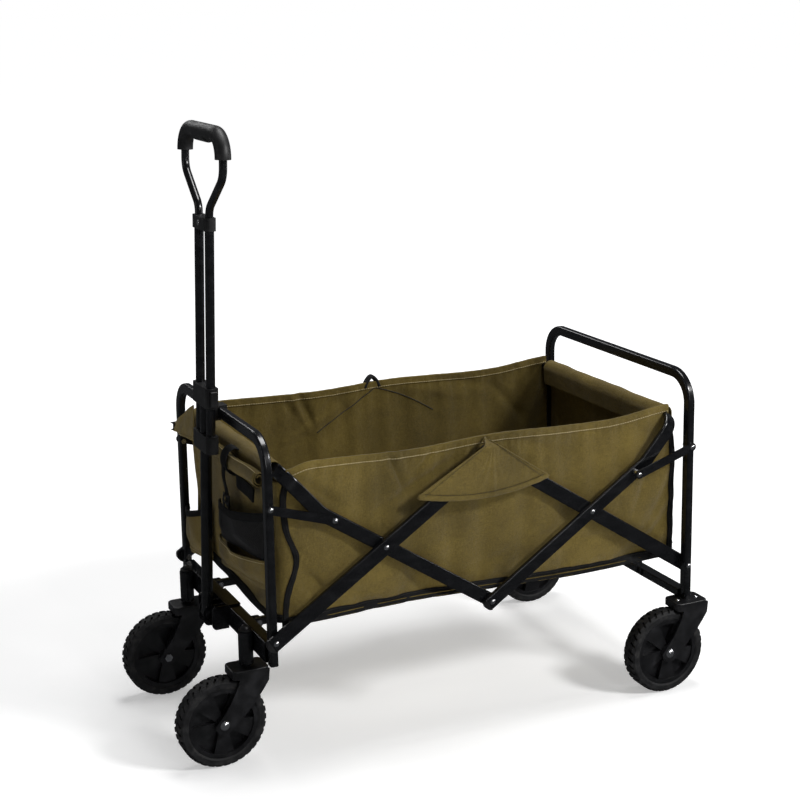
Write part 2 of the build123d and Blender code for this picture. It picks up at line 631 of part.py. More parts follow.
def scissor(parts):
    pivot, cross, top = (LEG_HALF, PIVOT_Z), (CROSS_X, CROSS_Z), (0, TOP_Z)
    front_pivot, front_cross = (-LEG_HALF, PIVOT_Z), (-CROSS_X, CROSS_Z)
    running = RIVET_R + RUNNING
    outer = both_sides(lever(-LEG_HALF, 1, OUTER_Y))
    outer = pierce(outer, running, OUTER_Y, [front_pivot])
    parts["outer_levers"] = pierce(outer, RIVET_R, OUTER_Y, [front_cross, top])
    inner = both_sides(lever(LEG_HALF, -1, INNER_Y))
    inner = pierce(inner, running, INNER_Y, [pivot, top])
    parts["inner_levers"] = pierce(inner, RIVET_R, INNER_Y, [cross])
    parts["front_hoop"] = pierce(hoop(-1, INNER_Y), running, INNER_Y, [front_cross, (0, PIVOT_Z)])
    rear = pierce(hoop(1, OUTER_Y), running, OUTER_Y, [cross])
    parts["rear_hoop"] = pierce(rear, RIVET_R, OUTER_Y, [(0, PIVOT_Z)])

    between = INNER_Y + BAR_THICK + (LAYER_GAP - WASHER_THICK) / 2
    rings = [washer(x, z, between) for x, z in (front_pivot, front_cross, top)]
    parts["outer_lever_bushes"] = both_sides(group(lever_plugs(-LEG_HALF, 1, OUTER_Y), *rings))
    rings = [washer(x, z, between) for x, z in (pivot, cross)]
    parts["inner_lever_bushes"] = both_sides(group(lever_plugs(LEG_HALF, -1, INNER_Y), *rings))
    parts["front_hoop_plugs"] = both_sides(hoop_plugs(-1, INNER_Y))
    bottom = washer(0, PIVOT_Z, between)
    parts["rear_hoop_bushes"] = both_sides(group(hoop_plugs(1, OUTER_Y), bottom))


def links(parts):
    for direction, face, label in ((-1, FRONT_LEG_OUT, "front"), (1, REAR_LEG_OUT, "rear")):
        low = face + 0.5
        high = low + LINK_THICK
        leg_x, end_x = direction * LEG_HALF, direction * LINK_END_X
        link = flat_link(leg_x, LINK_PIVOT_Z, end_x, LINK_END_Z, low)
        link -= along_y(RIVET_R + RUNNING, low - 1, high + 1, leg_x, LINK_PIVOT_Z)
        link -= along_y(RIVET_R, low - 1, high + 1, end_x, LINK_END_Z)
        parts[f"{label}_links"] = both_sides(link)
        stud = Pos(end_x, 0, LINK_END_Z) * along_y(RIVET_R, low, high + 0.5)
        stud += Pos(end_x, high, LINK_END_Z) * Rot(-90, 0, 0) * dome(RIVET_HEAD_R, RIVET_HEAD_HEIGHT)
        if direction > 0:
            stud += along_y(7, OUTER_Y + BAR_THICK + 0.5, low, end_x, LINK_END_Z)
        parts[f"{label}_link_studs"] = both_sides(stud)


def rivets(parts):
    """Rivets go with the body whose hole they fill."""
    outer_face = OUTER_Y + BAR_THICK
    tail = INNER_Y - LOOSE
    inner_leg = FRONT_LEG_Y - TUBE_Y / 2
    link_face = FRONT_LEG_OUT + 0.5 + LINK_THICK
    lower = rivet(-LEG_HALF, PIVOT_Z, inner_leg, outer_face + LOOSE)
    upper = rivet(-LEG_HALF, LINK_PIVOT_Z, inner_leg, link_face + LOOSE)
    pins = [rail_pin(side * RAIL_Y) for side in (-1, 1)]
    parts["front_leg_rivets"] = group(both_sides(group(lower, upper)), *pins)
    lower = rivet(LEG_HALF, PIVOT_Z, tail, REAR_LEG_OUT)
    upper = rivet(LEG_HALF, LINK_PIVOT_Z, OUTER_Y, REAR_LEG_OUT + 0.5 + LINK_THICK + LOOSE)
    pins = [mirror(rail_pin(side * REAR_RAIL_Y), about=Plane.YZ) for side in (-1, 1)]
    parts["rear_leg_rivets"] = group(both_sides(group(lower, upper)), *pins)
    crossing = rivet(-CROSS_X, CROSS_Z, tail, outer_face)
    top = rivet(0, TOP_Z, tail, outer_face)
    parts["outer_lever_rivets"] = both_sides(group(crossing, top))
    parts["inner_lever_rivets"] = both_sides(rivet(CROSS_X, CROSS_Z, INNER_Y, outer_face + LOOSE))
    parts["bottom_pivot_rivets"] = both_sides(rivet(0, PIVOT_Z, tail, outer_face))


def running_gear(parts):
    wheel_rim, wheel_tyre, bolt = rim(), tyre(), axle_bolt()
    caster = fork(-CASTER_TRAIL) + along_z(STEM_R, FORK_TOP - 2, STEM_TOP)
    caster += along_z(9, FORK_TOP - 1, FORK_TOP + 3)
    fixed = fork(-REAR_TRAIL)
    cap = along_z(CAP_R, STEM_TOP, STEM_TOP + CAP_RIM)
    cap += Pos(0, 0, STEM_TOP + CAP_RIM) * dome(CAP_DOME_R, CAP_DOME)
    rear_forks, rear_axles, screws = [], [], []
    for side, label in ((1, "left"), (-1, "right")):
        outward = Rot(0, 0, 0) if side > 0 else Rot(0, 0, 180)
        here = Pos(STEM_X, side * CASTER_Y, 0)
        axle = Pos(CASTER_AXLE_X, side * CASTER_Y, WHEEL_R)
        parts[f"caster_fork_{label}"] = here * caster
        parts[f"caster_cap_{label}"] = here * cap
        parts[f"front_axle_{label}"] = axle * outward * bolt
        parts[f"front_rim_{label}"] = axle * wheel_rim
        parts[f"front_tyre_{label}"] = axle * wheel_tyre
        here = Pos(LEG_HALF, side * REAR_WHEEL_Y, 0)
        axle = Pos(REAR_AXLE_X, side * REAR_WHEEL_Y, WHEEL_R)
        parts[f"rear_rim_{label}"] = axle * wheel_rim
        parts[f"rear_tyre_{label}"] = axle * wheel_tyre
        rear_forks.append(here * fixed)
        rear_axles.append(axle * outward * bolt)
        head = Pos(0, side * 3, FORK_TOP) * dome(SCREW_R, SCREW_HEAD)
        screws += [here * Pos(x, 0, 0) * head for x in (-SCREW_X, SCREW_X)]
    parts["rear_forks"] = group(*rear_forks)
    parts["rear_axles"] = group(*rear_axles)
    parts["rear_fork_screws"] = group(*screws)


def handle(parts):
    parts["handle_bracket"] = handle_bracket()
    pivot = along_y(AXLE_R, -LUG_OUT - LUG_HEAD, LUG_OUT + LUG_HEAD, HANDLE_PIVOT_X, HANDLE_PIVOT_Z)
    head = along_y(LUG_HEAD_R, LUG_OUT, LUG_OUT + 2 * LUG_HEAD)
    heads = [head, mirror(head, about=Plane.XZ)]
    parts["handle_pivot_bolt"] = pivot + Pos(HANDLE_PIVOT_X, 0, HANDLE_PIVOT_Z) * group(*heads)
    parts["handle_clip"] = handle_clip()
    parts["handle_pole"] = in_handle(pole())
    hollow = KEY_HALF + KEY_PLAY
    recess = box((-hollow, hollow), (-BLOCK_Y - 1, KEY_DEPTH - BLOCK_Y), (GUIDE_LOW + 3, GUIDE_HIGH - 3))
    parts["pole_guide"] = in_handle(pole_guide() - recess)
    rise = (GUIDE_LOW + 3.5, GUIDE_HIGH - 3.5)
    key = box((-KEY_HALF, KEY_HALF), (-BLOCK_Y - 5, 0.6 - BLOCK_Y), rise)
    key = fillet(key.edges().group_by(Axis.Y)[0], 1.5)
    parts["release_key"] = in_handle(key)
    parts["handle_slider"] = in_handle(slider())
    parts["twin_tubes"] = in_handle(twin_tubes())
    parts["handle_collar"] = in_handle(collar())
    middle = (COLLAR_LOW + COLLAR_HIGH) / 2
    parts["collar_button"] = in_handle(Pos(-BUTTON_R, 0, middle) * button(BUTTON_R, 6, 1.5))
    parts["grip_loop"] = in_handle(loop_rod())
    parts["grip"] = in_handle(grip())


def floor_rails(parts):
    hinge = Pos(-FLOOR_HINGE_X, 0, FLOOR_HINGE_Z)
    length = FLOOR_HINGE_X + RAIL_MEET
    front = [hinge * rail(side * RAIL_Y, length) for side in (-1, 1)]
    rear = [hinge * rail(side * REAR_RAIL_Y, length) for side in (-1, 1)]
    parts["front_floor_rails"] = group(*front)
    parts["rear_floor_rails"] = mirror(group(*rear), about=Plane.YZ)


def basket(parts):
    """Plain closed panels of the fabric basket, notched round the hoops' corners."""
    wall_x = (-BASKET_X + FABRIC + 0.5, BASKET_X - FABRIC - 0.5)
    rise = (BASKET_BOTTOM, BASKET_TOP)
    corners = [
        hoop(-1, INNER_Y, HOOP_CLEAR, hollow=False),
        hoop(1, OUTER_Y, HOOP_CLEAR, hollow=False),
    ]
    side = box(wall_x, (BASKET_Y - FABRIC, BASKET_Y), rise) - corners
    parts["basket_side_left"] = side
    parts["basket_side_right"] = other_side(side)
    inner_y = BASKET_Y - FABRIC - 0.3
    parts["basket_floor"] = box(wall_x, (-inner_y, inner_y), (BASKET_BOTTOM, BASKET_BOTTOM + FABRIC))
    parts["basket_front"] = box((-BASKET_X, -BASKET_X + FABRIC), (-BASKET_Y, BASKET_Y), rise)
    parts["basket_rear"] = box((BASKET_X - FABRIC, BASKET_X), (-BASKET_Y, BASKET_Y), rise)


def main():
    parts = {}
    for section in (frames, scissor, links, rivets, running_gear, handle, floor_rails, basket):
        section(parts)
    return parts


if __name__ == "__main__":
    os.makedirs("parts", exist_ok=True)
    move = Pos(-ORIGIN_X, 0, 0)
    for name, shape in main().items():
        export_step(group(move * shape), f"parts/{name}.step")
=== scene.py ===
"""Looks of the folding camp wagon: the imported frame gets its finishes, and the sewn basket, its
pockets, straps, bindings and stitching are built round it. Metres, +Z up, handle end at -X."""
import json
import math

import bpy
import numpy as np
from mathutils import Matrix, Vector


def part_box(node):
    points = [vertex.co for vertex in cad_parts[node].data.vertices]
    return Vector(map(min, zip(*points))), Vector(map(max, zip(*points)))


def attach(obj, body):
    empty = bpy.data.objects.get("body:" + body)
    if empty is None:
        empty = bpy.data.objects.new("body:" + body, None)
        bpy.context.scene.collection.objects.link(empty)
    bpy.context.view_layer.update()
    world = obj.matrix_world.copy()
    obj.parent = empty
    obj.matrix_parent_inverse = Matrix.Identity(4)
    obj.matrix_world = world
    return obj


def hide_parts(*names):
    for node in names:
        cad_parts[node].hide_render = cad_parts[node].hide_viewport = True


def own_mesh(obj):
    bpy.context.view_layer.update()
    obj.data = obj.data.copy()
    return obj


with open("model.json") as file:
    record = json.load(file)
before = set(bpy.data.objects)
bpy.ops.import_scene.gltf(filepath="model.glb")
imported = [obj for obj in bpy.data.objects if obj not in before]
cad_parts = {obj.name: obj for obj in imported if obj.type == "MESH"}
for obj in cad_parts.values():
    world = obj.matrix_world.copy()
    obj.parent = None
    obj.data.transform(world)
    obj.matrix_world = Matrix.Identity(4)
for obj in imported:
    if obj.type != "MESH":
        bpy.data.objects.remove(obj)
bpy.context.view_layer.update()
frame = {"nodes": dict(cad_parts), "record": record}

# ---- places, from the frame ---------------------------------------------------------------


def centre(node, axis):
    low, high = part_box(node)
    return (low[axis] + high[axis]) / 2


FRONT_X = centre("front_frame", 0)
REAR_X = centre("rear_frame", 0)
MID_X = (FRONT_X + REAR_X) / 2
WALL_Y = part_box("basket_side_left")[1].y  # outer face of the side walls
RIM_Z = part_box("basket_side_left")[1].z
PANEL_X = (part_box("basket_rear")[1].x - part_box("basket_front")[0].x) / 2  # half length, outside
BAR_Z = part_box("front_hoop")[1].z  # top of the cross tube in the rim
TUBE_HALF_X = 0.0092  # half sizes of a cross tube as it lies
TUBE_HALF_Z = 0.0113
TUBE_R = 0.0135  # a sleeve's inside radius round a cross tube
TUBE_Z = BAR_Z - TUBE_HALF_Z
TUBE_X = MID_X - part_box("front_hoop")[0].x - TUBE_HALF_X
BARS_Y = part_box("rear_hoop")[1].y  # outer face of the scissor bars

BINDING = 0.0054  # thickness of the bias binding folded over a wall's edge
END_BINDING = 0.0044
HEM = 0.0042
CANVAS = 0.0012


def smooth(low, high, value):
    """0 below low, 1 above high, and a smooth step between."""
    t = np.clip((value - low) / (high - low), 0, 1)
    return t * t * (3 - 2 * t)


def bump(value, at, width):
    return np.exp(-(((value - at) / width) ** 2))


# ---- materials ----------------------------------------------------------------------------
class Nodes:
    """One material's node tree, with short calls for the few nodes used here."""

    def __init__(self, name):
        self.material = bpy.data.materials.new(name)
        self.material.use_nodes = True
        self.tree = self.material.node_tree
        self.shader = self.tree.nodes["Principled BSDF"]
        self.place = self.tree.nodes.new("ShaderNodeTexCoord").outputs["Object"]

    def new(self, kind, **values):
        node = self.tree.nodes.new(kind)
        for key, value in values.items():
            setattr(node, key, value)
        return node

    def link(self, source, target):
        self.tree.links.new(source, target)

    def noise(self, scale, detail=4.0, rough=0.55, source=None):
        node = self.new("ShaderNodeTexNoise")
        node.inputs["Scale"].default_value = scale
        node.inputs["Detail"].default_value = detail
        node.inputs["Roughness"].default_value = rough
        self.link(source or self.place, node.inputs["Vector"])
        return node.outputs["Fac"]

    def stretch(self, x, y, z):
        node = self.new("ShaderNodeMapping")
        node.inputs["Scale"].default_value = (x, y, z)
        self.link(self.place, node.inputs["Vector"])
        return node.outputs["Vector"]

    def math(self, operation, a, b=0.0):
        node = self.new("ShaderNodeMath", operation=operation)
        for socket, value in zip(node.inputs, (a, b)):
            if isinstance(value, (int, float)):
                socket.default_value = value
            else:
                self.link(value, socket)
        return node.outputs[0]

    def ramp(self, source, low, high, colours):
        """Colours spread evenly over source's range from low to high."""
        node = self.new("ShaderNodeValToRGB")
        elements = node.color_ramp.elements
        while len(elements) < len(colours):
            elements.new(0.5)
        for index, colour in enumerate(colours):
            elements[index].position = low + (high - low) * index / (len(colours) - 1)
            elements[index].color = (*colour, 1)
        self.link(source, node.inputs["Fac"])
        return node.outputs["Color"]

    def colour(self, source, low, high, *colours):
        self.link(self.ramp(source, low, high, colours), self.shader.inputs["Base Color"])

    def roughness(self, source, low, high):
        node = self.new("ShaderNodeMapRange")
        node.inputs["To Min"].default_value = low
        node.inputs["To Max"].default_value = high
        node.inputs["From Min"].default_value = 0.3
        node.inputs["From Max"].default_value = 0.7
        self.link(source, node.inputs["Value"])
        self.link(node.outputs["Result"], self.shader.inputs["Roughness"])

    def relief(self, *layers):
        """Bump from (height, distance in metres) layers."""
        normal = None
        for height, distance in layers:
            node = self.new("ShaderNodeBump")
            node.inputs["Distance"].default_value = distance
            self.link(height, node.inputs["Height"])
            if normal:
                self.link(normal, node.inputs["Normal"])
            normal = node.outputs["Normal"]
        self.link(normal, self.shader.inputs["Normal"])

    def set(self, **values):
        for key, value in values.items():
            self.shader.inputs[key.replace("_", " ")].default_value = value

    def weave(self, pitch):
        """Plain weave from the place itself: threads along z and along the wall, either wall."""
        split = self.new("ShaderNodeSeparateXYZ")
        self.link(self.place, split.inputs["Vector"])
        along = self.math("ADD", split.outputs["X"], split.outputs["Y"])
        turn = 2 * math.pi / pitch
        drift = self.math("MULTIPLY", self.noise(260, 3.0), 9.0)
        across = self.math("SINE", self.math("ADD", self.math("MULTIPLY", along, turn), drift))
        up = self.math("SINE", self.math("ADD", self.math("MULTIPLY", split.outputs["Z"], turn), drift))
        return self.math("ADD", self.math("MULTIPLY", self.math("MULTIPLY", across, up), 0.5), 0.5)


def cloth_material(name, dark, mid, light, pitch=0.0016):
    """Coated woven polyester: weave, slubs, faded and rubbed patches."""
    m = Nodes(name)
    threads = m.weave(pitch)
    upright = m.noise(430, 2.0, source=m.stretch(1, 1, 0.3))
    level = m.noise(430, 2.0, source=m.stretch(0.3, 0.3, 1))
    slub = m.math("MULTIPLY", m.math("ADD", upright, level), 0.5)
    fleck = m.noise(900, 2.0)
    patch = m.noise(7, 5.0)
    mix = m.math("ADD", m.math("MULTIPLY", patch, 0.42), m.math("MULTIPLY", slub, 0.2))
    mix = m.math("ADD", mix, m.math("MULTIPLY", fleck, 0.28))
    mix = m.math("ADD", mix, m.math("MULTIPLY", threads, 0.10))
    m.colour(mix, 0.36, 0.64, dark, mid, light)
    m.roughness(patch, 0.72, 0.9)
    m.relief((m.noise(22, 3.0), 0.0035), (m.noise(70, 3.0), 0.0012), (slub, 0.0005), (threads, 0.0005))
    m.set(Sheen_Weight=0.08, Sheen_Roughness=0.4, Specular_IOR_Level=0.25)
    return m.material


def webbing_material():
    """Black polypropylene webbing and bias binding: ribs across, a little dusty."""
    m = Nodes("webbing_black")
    threads = m.weave(0.0022)
    dust = m.noise(40, 4.0)
    m.colour(m.math("ADD", m.math("MULTIPLY", dust, 0.7), m.math("MULTIPLY", threads, 0.3)),
             0.3, 0.75, (0.002, 0.002, 0.0022), (0.0045, 0.0045, 0.005), (0.009, 0.009, 0.0095))
    m.roughness(dust, 0.6, 0.8)
    m.relief((dust, 0.0003), (threads, 0.0005))
    m.set(Specular_IOR_Level=0.25)
    return m.material


def thread_material(name, dark, light):
    m = Nodes(name)
    twist = m.noise(1500, 2.0)
    m.colour(twist, 0.35, 0.65, dark, light)
    m.roughness(twist, 0.55, 0.75)
    m.relief((twist, 0.0002))
    return m.material


def paint_material():
    """Gloss black powder coat: orange peel, faint handling marks, rubbed a little greyer."""
    m = Nodes("powder_coat_black")
    peel = m.noise(850, 2.0)
    marks = m.noise(30, 6.0, 0.65, source=m.stretch(1, 1, 3))
    haze = m.noise(9, 3.0)
    m.colour(marks, 0.35, 0.7, (0.0022, 0.0024, 0.003), (0.004, 0.0042, 0.005), (0.0075, 0.0078, 0.009))
    m.roughness(m.math("ADD", m.math("MULTIPLY", marks, 0.6), m.math("MULTIPLY", haze, 0.4)), 0.16, 0.27)
    m.relief((peel, 0.00001))
    m.set(Specular_IOR_Level=0.5, Coat_Weight=0.15, Coat_Roughness=0.06)
    return m.material


def chrome_material():
    """Plated steel rivets: bright, with fine tarnish."""
    m = Nodes("plated_steel")
    tarnish = m.noise(260, 5.0)
    m.colour(tarnish, 0.35, 0.75, (0.78, 0.78, 0.79), (0.66, 0.66, 0.68), (0.42, 0.42, 0.43))
    m.roughness(tarnish, 0.12, 0.3)
    m.relief((m.noise(500, 3.0), 0.0001))
    m.set(Metallic=1.0)
    return m.material


def plastic_material(name, base, low, high, grain):
    """Moulded plastic: fine spark-erosion grain with slightly polished, dusty places."""
    m = Nodes(name)
    texture = m.noise(grain, 3.0)
    rubbed = m.noise(35, 5.0)
    darker = tuple(c * 0.6 for c in base)
    lighter = tuple(c * 1.9 for c in base)
    m.colour(rubbed, 0.35, 0.7, darker, base, lighter)
    m.roughness(rubbed, low, high)
    m.relief((texture, 0.0001), (m.noise(120, 2.0), 0.0001))
    m.set(Specular_IOR_Level=0.4)
    return m.material


def tyre_material():
    """Hard rubber: matt, with dusty patches and a fine grain."""
    m = Nodes("tyre_rubber")
    dust = m.noise(70, 6.0, 0.6)
    m.colour(dust, 0.35, 0.7, (0.005, 0.005, 0.0055), (0.010, 0.010, 0.011), (0.024, 0.023, 0.022))
    m.roughness(dust, 0.55, 0.8)
    m.relief((m.noise(600, 3.0), 0.0003), (dust, 0.0005))
    m.set(Specular_IOR_Level=0.35)
    return m.material


OLIVE = cloth_material("olive_canvas", (0.056, 0.040, 0.0080), (0.120, 0.085, 0.0175), (0.215, 0.155, 0.036))
# Near-black cloth for the sheet inside the mesh pocket: painted shade, standing in for the shade inside the
# pocket.
NET_SHADE = cloth_material(
    "pocket_shade", (0.006, 0.0055, 0.004), (0.012, 0.010, 0.006), (0.02, 0.016, 0.009)
)
WEBBING = webbing_material()
TAN_THREAD = thread_material("tan_thread", (0.30, 0.24, 0.11), (0.55, 0.45, 0.24))
NET_THREAD = thread_material("net_thread", (0.008, 0.008, 0.009), (0.03, 0.03, 0.032))
DARK_THREAD = thread_material("dark_thread", (0.006, 0.005, 0.004), (0.018, 0.015, 0.010))
PLASTIC = plastic_material("moulded_black", (0.008, 0.008, 0.0085), 0.32, 0.5, 1400)
FINISHES = {
    "frame_paint": paint_material(),
    "chrome_fasteners": chrome_material(),
    "black_plastic": PLASTIC,
    "fork_plastic": plastic_material("fork_black", (0.008, 0.008, 0.009), 0.26, 0.42, 1100),
    "wheel_plastic": plastic_material("wheel_black", (0.007, 0.007, 0.008), 0.3, 0.45, 1200),
    "tyre": tyre_material(),
    "grip_rubber": plastic_material("grip_soft", (0.008, 0.008, 0.0085), 0.4, 0.55, 900),
    "basket_fabric": OLIVE,
}


def dress_frame():
    """Each CAD node takes the finish of its slot, shaded smooth except at real edges."""
    for row in frame["record"]["subparts"]:
        node = frame["nodes"][row["node"]]
        node.data.materials.clear()
        node.data.materials.append(FINISHES[row["material_slot"]])
        for face in node.data.polygons:
            face.use_smooth = True
        split = node.modifiers.new("edges", "EDGE_SPLIT")
        split.split_angle = math.radians(40)


# ---- mesh helpers -------------------------------------------------------------------------
def place(points):
    """Points given from the middle of the wheelbase, put in the frame."""
    return np.asarray(points, float) + (MID_X, 0, 0)


def make(name, verts, faces, material):
    mesh = bpy.data.meshes.new(name)
    mesh.from_pydata([tuple(v) for v in verts], [], [tuple(f) for f in faces])
    mesh.materials.append(material)
    for face in mesh.polygons:
        face.use_smooth = True
    mesh.update()
    obj = bpy.data.objects.new(name, mesh)
    bpy.context.scene.collection.objects.link(obj)
    return obj


def bake(obj):
    """Applies the object's modifiers to its mesh."""
    mesh = bpy.data.meshes.new_from_object(obj.evaluated_get(bpy.context.evaluated_depsgraph_get()))
    obj.modifiers.clear()
    obj.data = mesh
    for face in mesh.polygons:
        face.use_smooth = True
    return obj


def unit(vectors):
    vectors = np.asarray(vectors, float)
    return vectors / np.maximum(np.linalg.norm(vectors, axis=-1, keepdims=True), 1e-12)


def resample(points, step):
    """The same line with points a step apart, and each one's place on the old line."""
    points = np.asarray(points, float)
    lengths = np.concatenate([[0], np.cumsum(np.linalg.norm(np.diff(points, axis=0), axis=1))])
    count = max(int(round(lengths[-1] / step)), 2)
    at = np.linspace(0, lengths[-1], count + 1)
    return np.stack([np.interp(at, lengths, points[:, i]) for i in range(3)], axis=1), at / lengths[-1]


def sweep(name, points, normals, section, material):
    """Solid strip along a line: section points are (across, out along the normal)."""
    points = np.asarray(points, float)
    normals = np.broadcast_to(np.asarray(normals, float), points.shape)
    tangent = unit(np.gradient(points, axis=0))
    across = unit(np.cross(tangent, normals))
    out = unit(np.cross(across, tangent))
    count = len(section)
    rings = [points + a * across + b * out for a, b in section]
    verts = np.stack(rings, axis=1).reshape(-1, 3)
    faces = []
    for i in range(len(points) - 1):
        for j in range(count):
            k = (j + 1) % count
            faces.append((i * count + j, i * count + k, (i + 1) * count + k, (i + 1) * count + j))
    faces.append(tuple(range(count))[::-1])
    last = (len(points) - 1) * count
    faces.append(tuple(range(last, last + count)))
    return make(name, verts, faces, material)


def flat_section(width, thick, corners=3):
    """Rounded strip section."""
    radius = thick / 2
    points = []
    for side in (1, -1):
        for index in range(corners + 1):
            turn = math.pi * (index / corners - 0.5)
            across = width / 2 - radius + radius * math.cos(turn)
            points.append((side * across, side * radius * math.sin(turn)))
    return points


def round_section(radius, count=8):
    turns = [2 * math.pi * i / count for i in range(count)]
    return [(radius * math.cos(turn), radius * math.sin(turn)) for turn in turns]


def stitches(name, lines, material, pitch=0.0048, length=0.0034, radius=0.00055):
    """Rows of thread stitches as one piece. Each line is (points, normals)."""
    ring = [(math.cos(math.pi * i / 3), math.sin(math.pi * i / 3)) for i in range(6)]
    stations = ((-0.5, 0.35), (-0.3, 1.0), (0.3, 1.0), (0.5, 0.35))
    verts, faces = [], []
    for points, normals in lines:
        where, share = resample(points, pitch)
        normals = np.broadcast_to(np.asarray(normals, float), np.shape(points))
        old = np.linspace(0, 1, len(points))
        normal = np.stack([np.interp(share, old, normals[:, i]) for i in range(3)], axis=1)
        tangent = unit(np.gradient(where, axis=0))
        side = unit(np.cross(tangent, normal))
        out = unit(np.cross(side, tangent))
        for p, t, s, o in zip(where, tangent, side, out):
            start = len(verts)
            for along, swell in stations:
                verts += [p + t * along * length + (s * a + o * b) * radius * swell for a, b in ring]
            for row in range(3):
                low, high = start + row * 6, start + row * 6 + 6
                faces += [(low + j, low + (j + 1) % 6, high + (j + 1) % 6, high + j) for j in range(6)]
            faces.append(tuple(range(start, start + 6))[::-1])
            faces.append(tuple(range(start + 18, start + 24)))
    return make(name, verts, faces, material)


class Sheet:
    """A fabric panel as a grid of points, u across it and v up it, both from 0 to 1."""

    def __init__(self, point, columns, rows):
        us, vs = np.linspace(0, 1, columns), np.linspace(0, 1, rows)
        self.grid = np.array([[point(u, v) for v in vs] for u in us], float)
        self.shape = (columns, rows)

    def faces(self):
        columns, rows = self.shape
        index = np.arange(columns * rows).reshape(columns, rows)
        a, b, c, d = index[:-1, :-1], index[1:, :-1], index[1:, 1:], index[:-1, 1:]
        return np.stack([a, b, c, d], axis=-1).reshape(-1, 4).tolist()

    def diamonds(self):
        """Faces between every other point, for a net."""
        columns, rows = self.shape
        return [
            (i * rows + j - 1, (i + 1) * rows + j, i * rows + j + 1, (i - 1) * rows + j)
            for i in range(1, columns - 1)
            for j in range(1, rows - 1)
            if (i + j) % 2
        ]

    def normals(self):
        du, dv = np.gradient(self.grid, axis=0), np.gradient(self.grid, axis=1)
        return unit(np.cross(du, dv))

    def pick(self, field, us, vs):
        columns, rows = self.shape
        us = np.clip(np.asarray(us, float), 0, 1) * (columns - 1)
        vs = np.clip(np.asarray(vs, float), 0, 1) * (rows - 1)
        i, j = np.minimum(us.astype(int), columns - 2), np.minimum(vs.astype(int), rows - 2)
        fu, fv = (us - i)[:, None], (vs - j)[:, None]
        low = field[i, j] * (1 - fu) + field[i + 1, j] * fu
        high = field[i, j + 1] * (1 - fu) + field[i + 1, j + 1] * fu
        return low * (1 - fv) + high * fv

    def line(self, us, vs, lift=0.0):
        """Points and normals along a line drawn on the panel, lifted off it."""
        us, vs = np.broadcast_arrays(np.asarray(us, float), np.asarray(vs, float))
        normals = unit(self.pick(self.normals(), us, vs))
        return self.pick(self.grid, us, vs) + normals * lift, normals

    def band(self, name, columns, rows, thick, material, slot=None):
        """A strip that lies on some columns and rows of the panel, as a thicker layer round it."""
        strip = Sheet.__new__(Sheet)
        strip.grid = self.grid[columns, rows]
        strip.shape = strip.grid.shape[:2]
        return strip.solid(name, material, slot, thick)

    def crumple(self, seed, size, scale):
        """Soft random relief, nothing at the panel's edges."""
        random = np.random.RandomState(seed)
        columns, rows = self.shape
        flat = self.grid.reshape(-1, 3)
        relief = np.zeros(len(flat))
        for _ in range(14):
            wave = random.normal(size=3) * scale
            relief += np.sin(flat @ wave + random.uniform(0, 2 * math.pi)) / 14**0.5
        u, v = np.linspace(0, 1, columns)[:, None], np.linspace(0, 1, rows)[None, :]
        window = (np.sin(math.pi * u) * np.sin(math.pi * v)) ** 0.5
        self.grid += self.normals() * (relief.reshape(columns, rows) * window * size)[..., None]

    def finer(self, times):
        """The same surface with more grid points, so that narrow creases can be pressed in."""
        columns, rows = ((count - 1) * times + 1 for count in self.shape)
        u, v = np.meshgrid(np.linspace(0, 1, columns), np.linspace(0, 1, rows), indexing="ij")
        self.grid = self.pick(self.grid, u.ravel(), v.ravel()).reshape(columns, rows, 3)
        self.shape = (columns, rows)

    def fold(self, start, end, height, width):
        """A crease or ridge pressed in between two places on the panel, in metres."""
        a, b = np.asarray(start, float), np.asarray(end, float)
        run = b - a
        t = np.clip((self.grid - a) @ run / (run @ run), 0, 1)
        away = np.linalg.norm(self.grid - a - t[..., None] * run, axis=-1)
        size = height * np.exp(-((away / width) ** 2)) * np.sqrt(np.sin(math.pi * np.clip(t, 0.02, 0.98)))
        self.grid += self.normals() * size[..., None]

    def simulate(self, pinned, slack, frames=26, stiff=18.0, bend=0.25):
        """Cloth simulation: the pinned points stay, and the rest is cut that much too large."""
        obj = make("cloth", self.grid.reshape(-1, 3), self.faces(), OLIVE)
        group = obj.vertex_groups.new(name="pin")
        group.add([int(i) for i in np.flatnonzero(pinned.reshape(-1))], 1.0, "REPLACE")
        cloth = obj.modifiers.new("cloth", "CLOTH")
        settings = cloth.settings
        settings.quality = 5
        settings.mass = 0.25
        settings.vertex_group_mass = "pin"
        settings.tension_stiffness = stiff
        settings.compression_stiffness = stiff
        settings.shear_stiffness = stiff * 0.5
        settings.bending_stiffness = bend
        settings.air_damping = 2.5
        settings.shrink_min = -slack
        cloth.collision_settings.use_collision = False
        cloth.point_cache.frame_start = 1
        cloth.point_cache.frame_end = frames
        for step in range(1, frames + 1):
            bpy.context.scene.frame_set(step)
        shaped = obj.evaluated_get(bpy.context.evaluated_depsgraph_get()).to_mesh()
        points = np.empty(len(shaped.vertices) * 3, np.float32)
        shaped.vertices.foreach_get("co", points)
        self.grid = points.reshape(*self.shape, 3).astype(float)
        bpy.data.objects.remove(obj)
        bpy.context.scene.frame_set(1)

    def solid(self, name, material, slot=None, thick=CANVAS, levels=1):
        obj = make(name, self.grid.reshape(-1, 3), self.faces(), material)
        if levels:
            obj.modifiers.new("finer", "SUBSURF").levels = levels
        shell = obj.modifiers.new("thickness", "SOLIDIFY")
        shell.thickness = thick
        shell.offset = 0
        return bake(obj)


def squash(obj):
    """Side pieces ride with the front end's body, each on its own copy of its mesh."""
    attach(obj, "front_end")
    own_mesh(obj)
    return obj


# ---- basket: side walls -------------------------------------------------------------------
LOWER_Z = 0.243
SHEET_LIMIT = 0.0036  # how far a wall may stand out towards the bars


def seam_front(z):
    """How far ahead of the middle the front seam is: it is pulled back at half height."""
    return -0.3775 + 0.021 * bump(z, 0.360, 0.045) + 0.012 * smooth(0.475, 0.52, z)


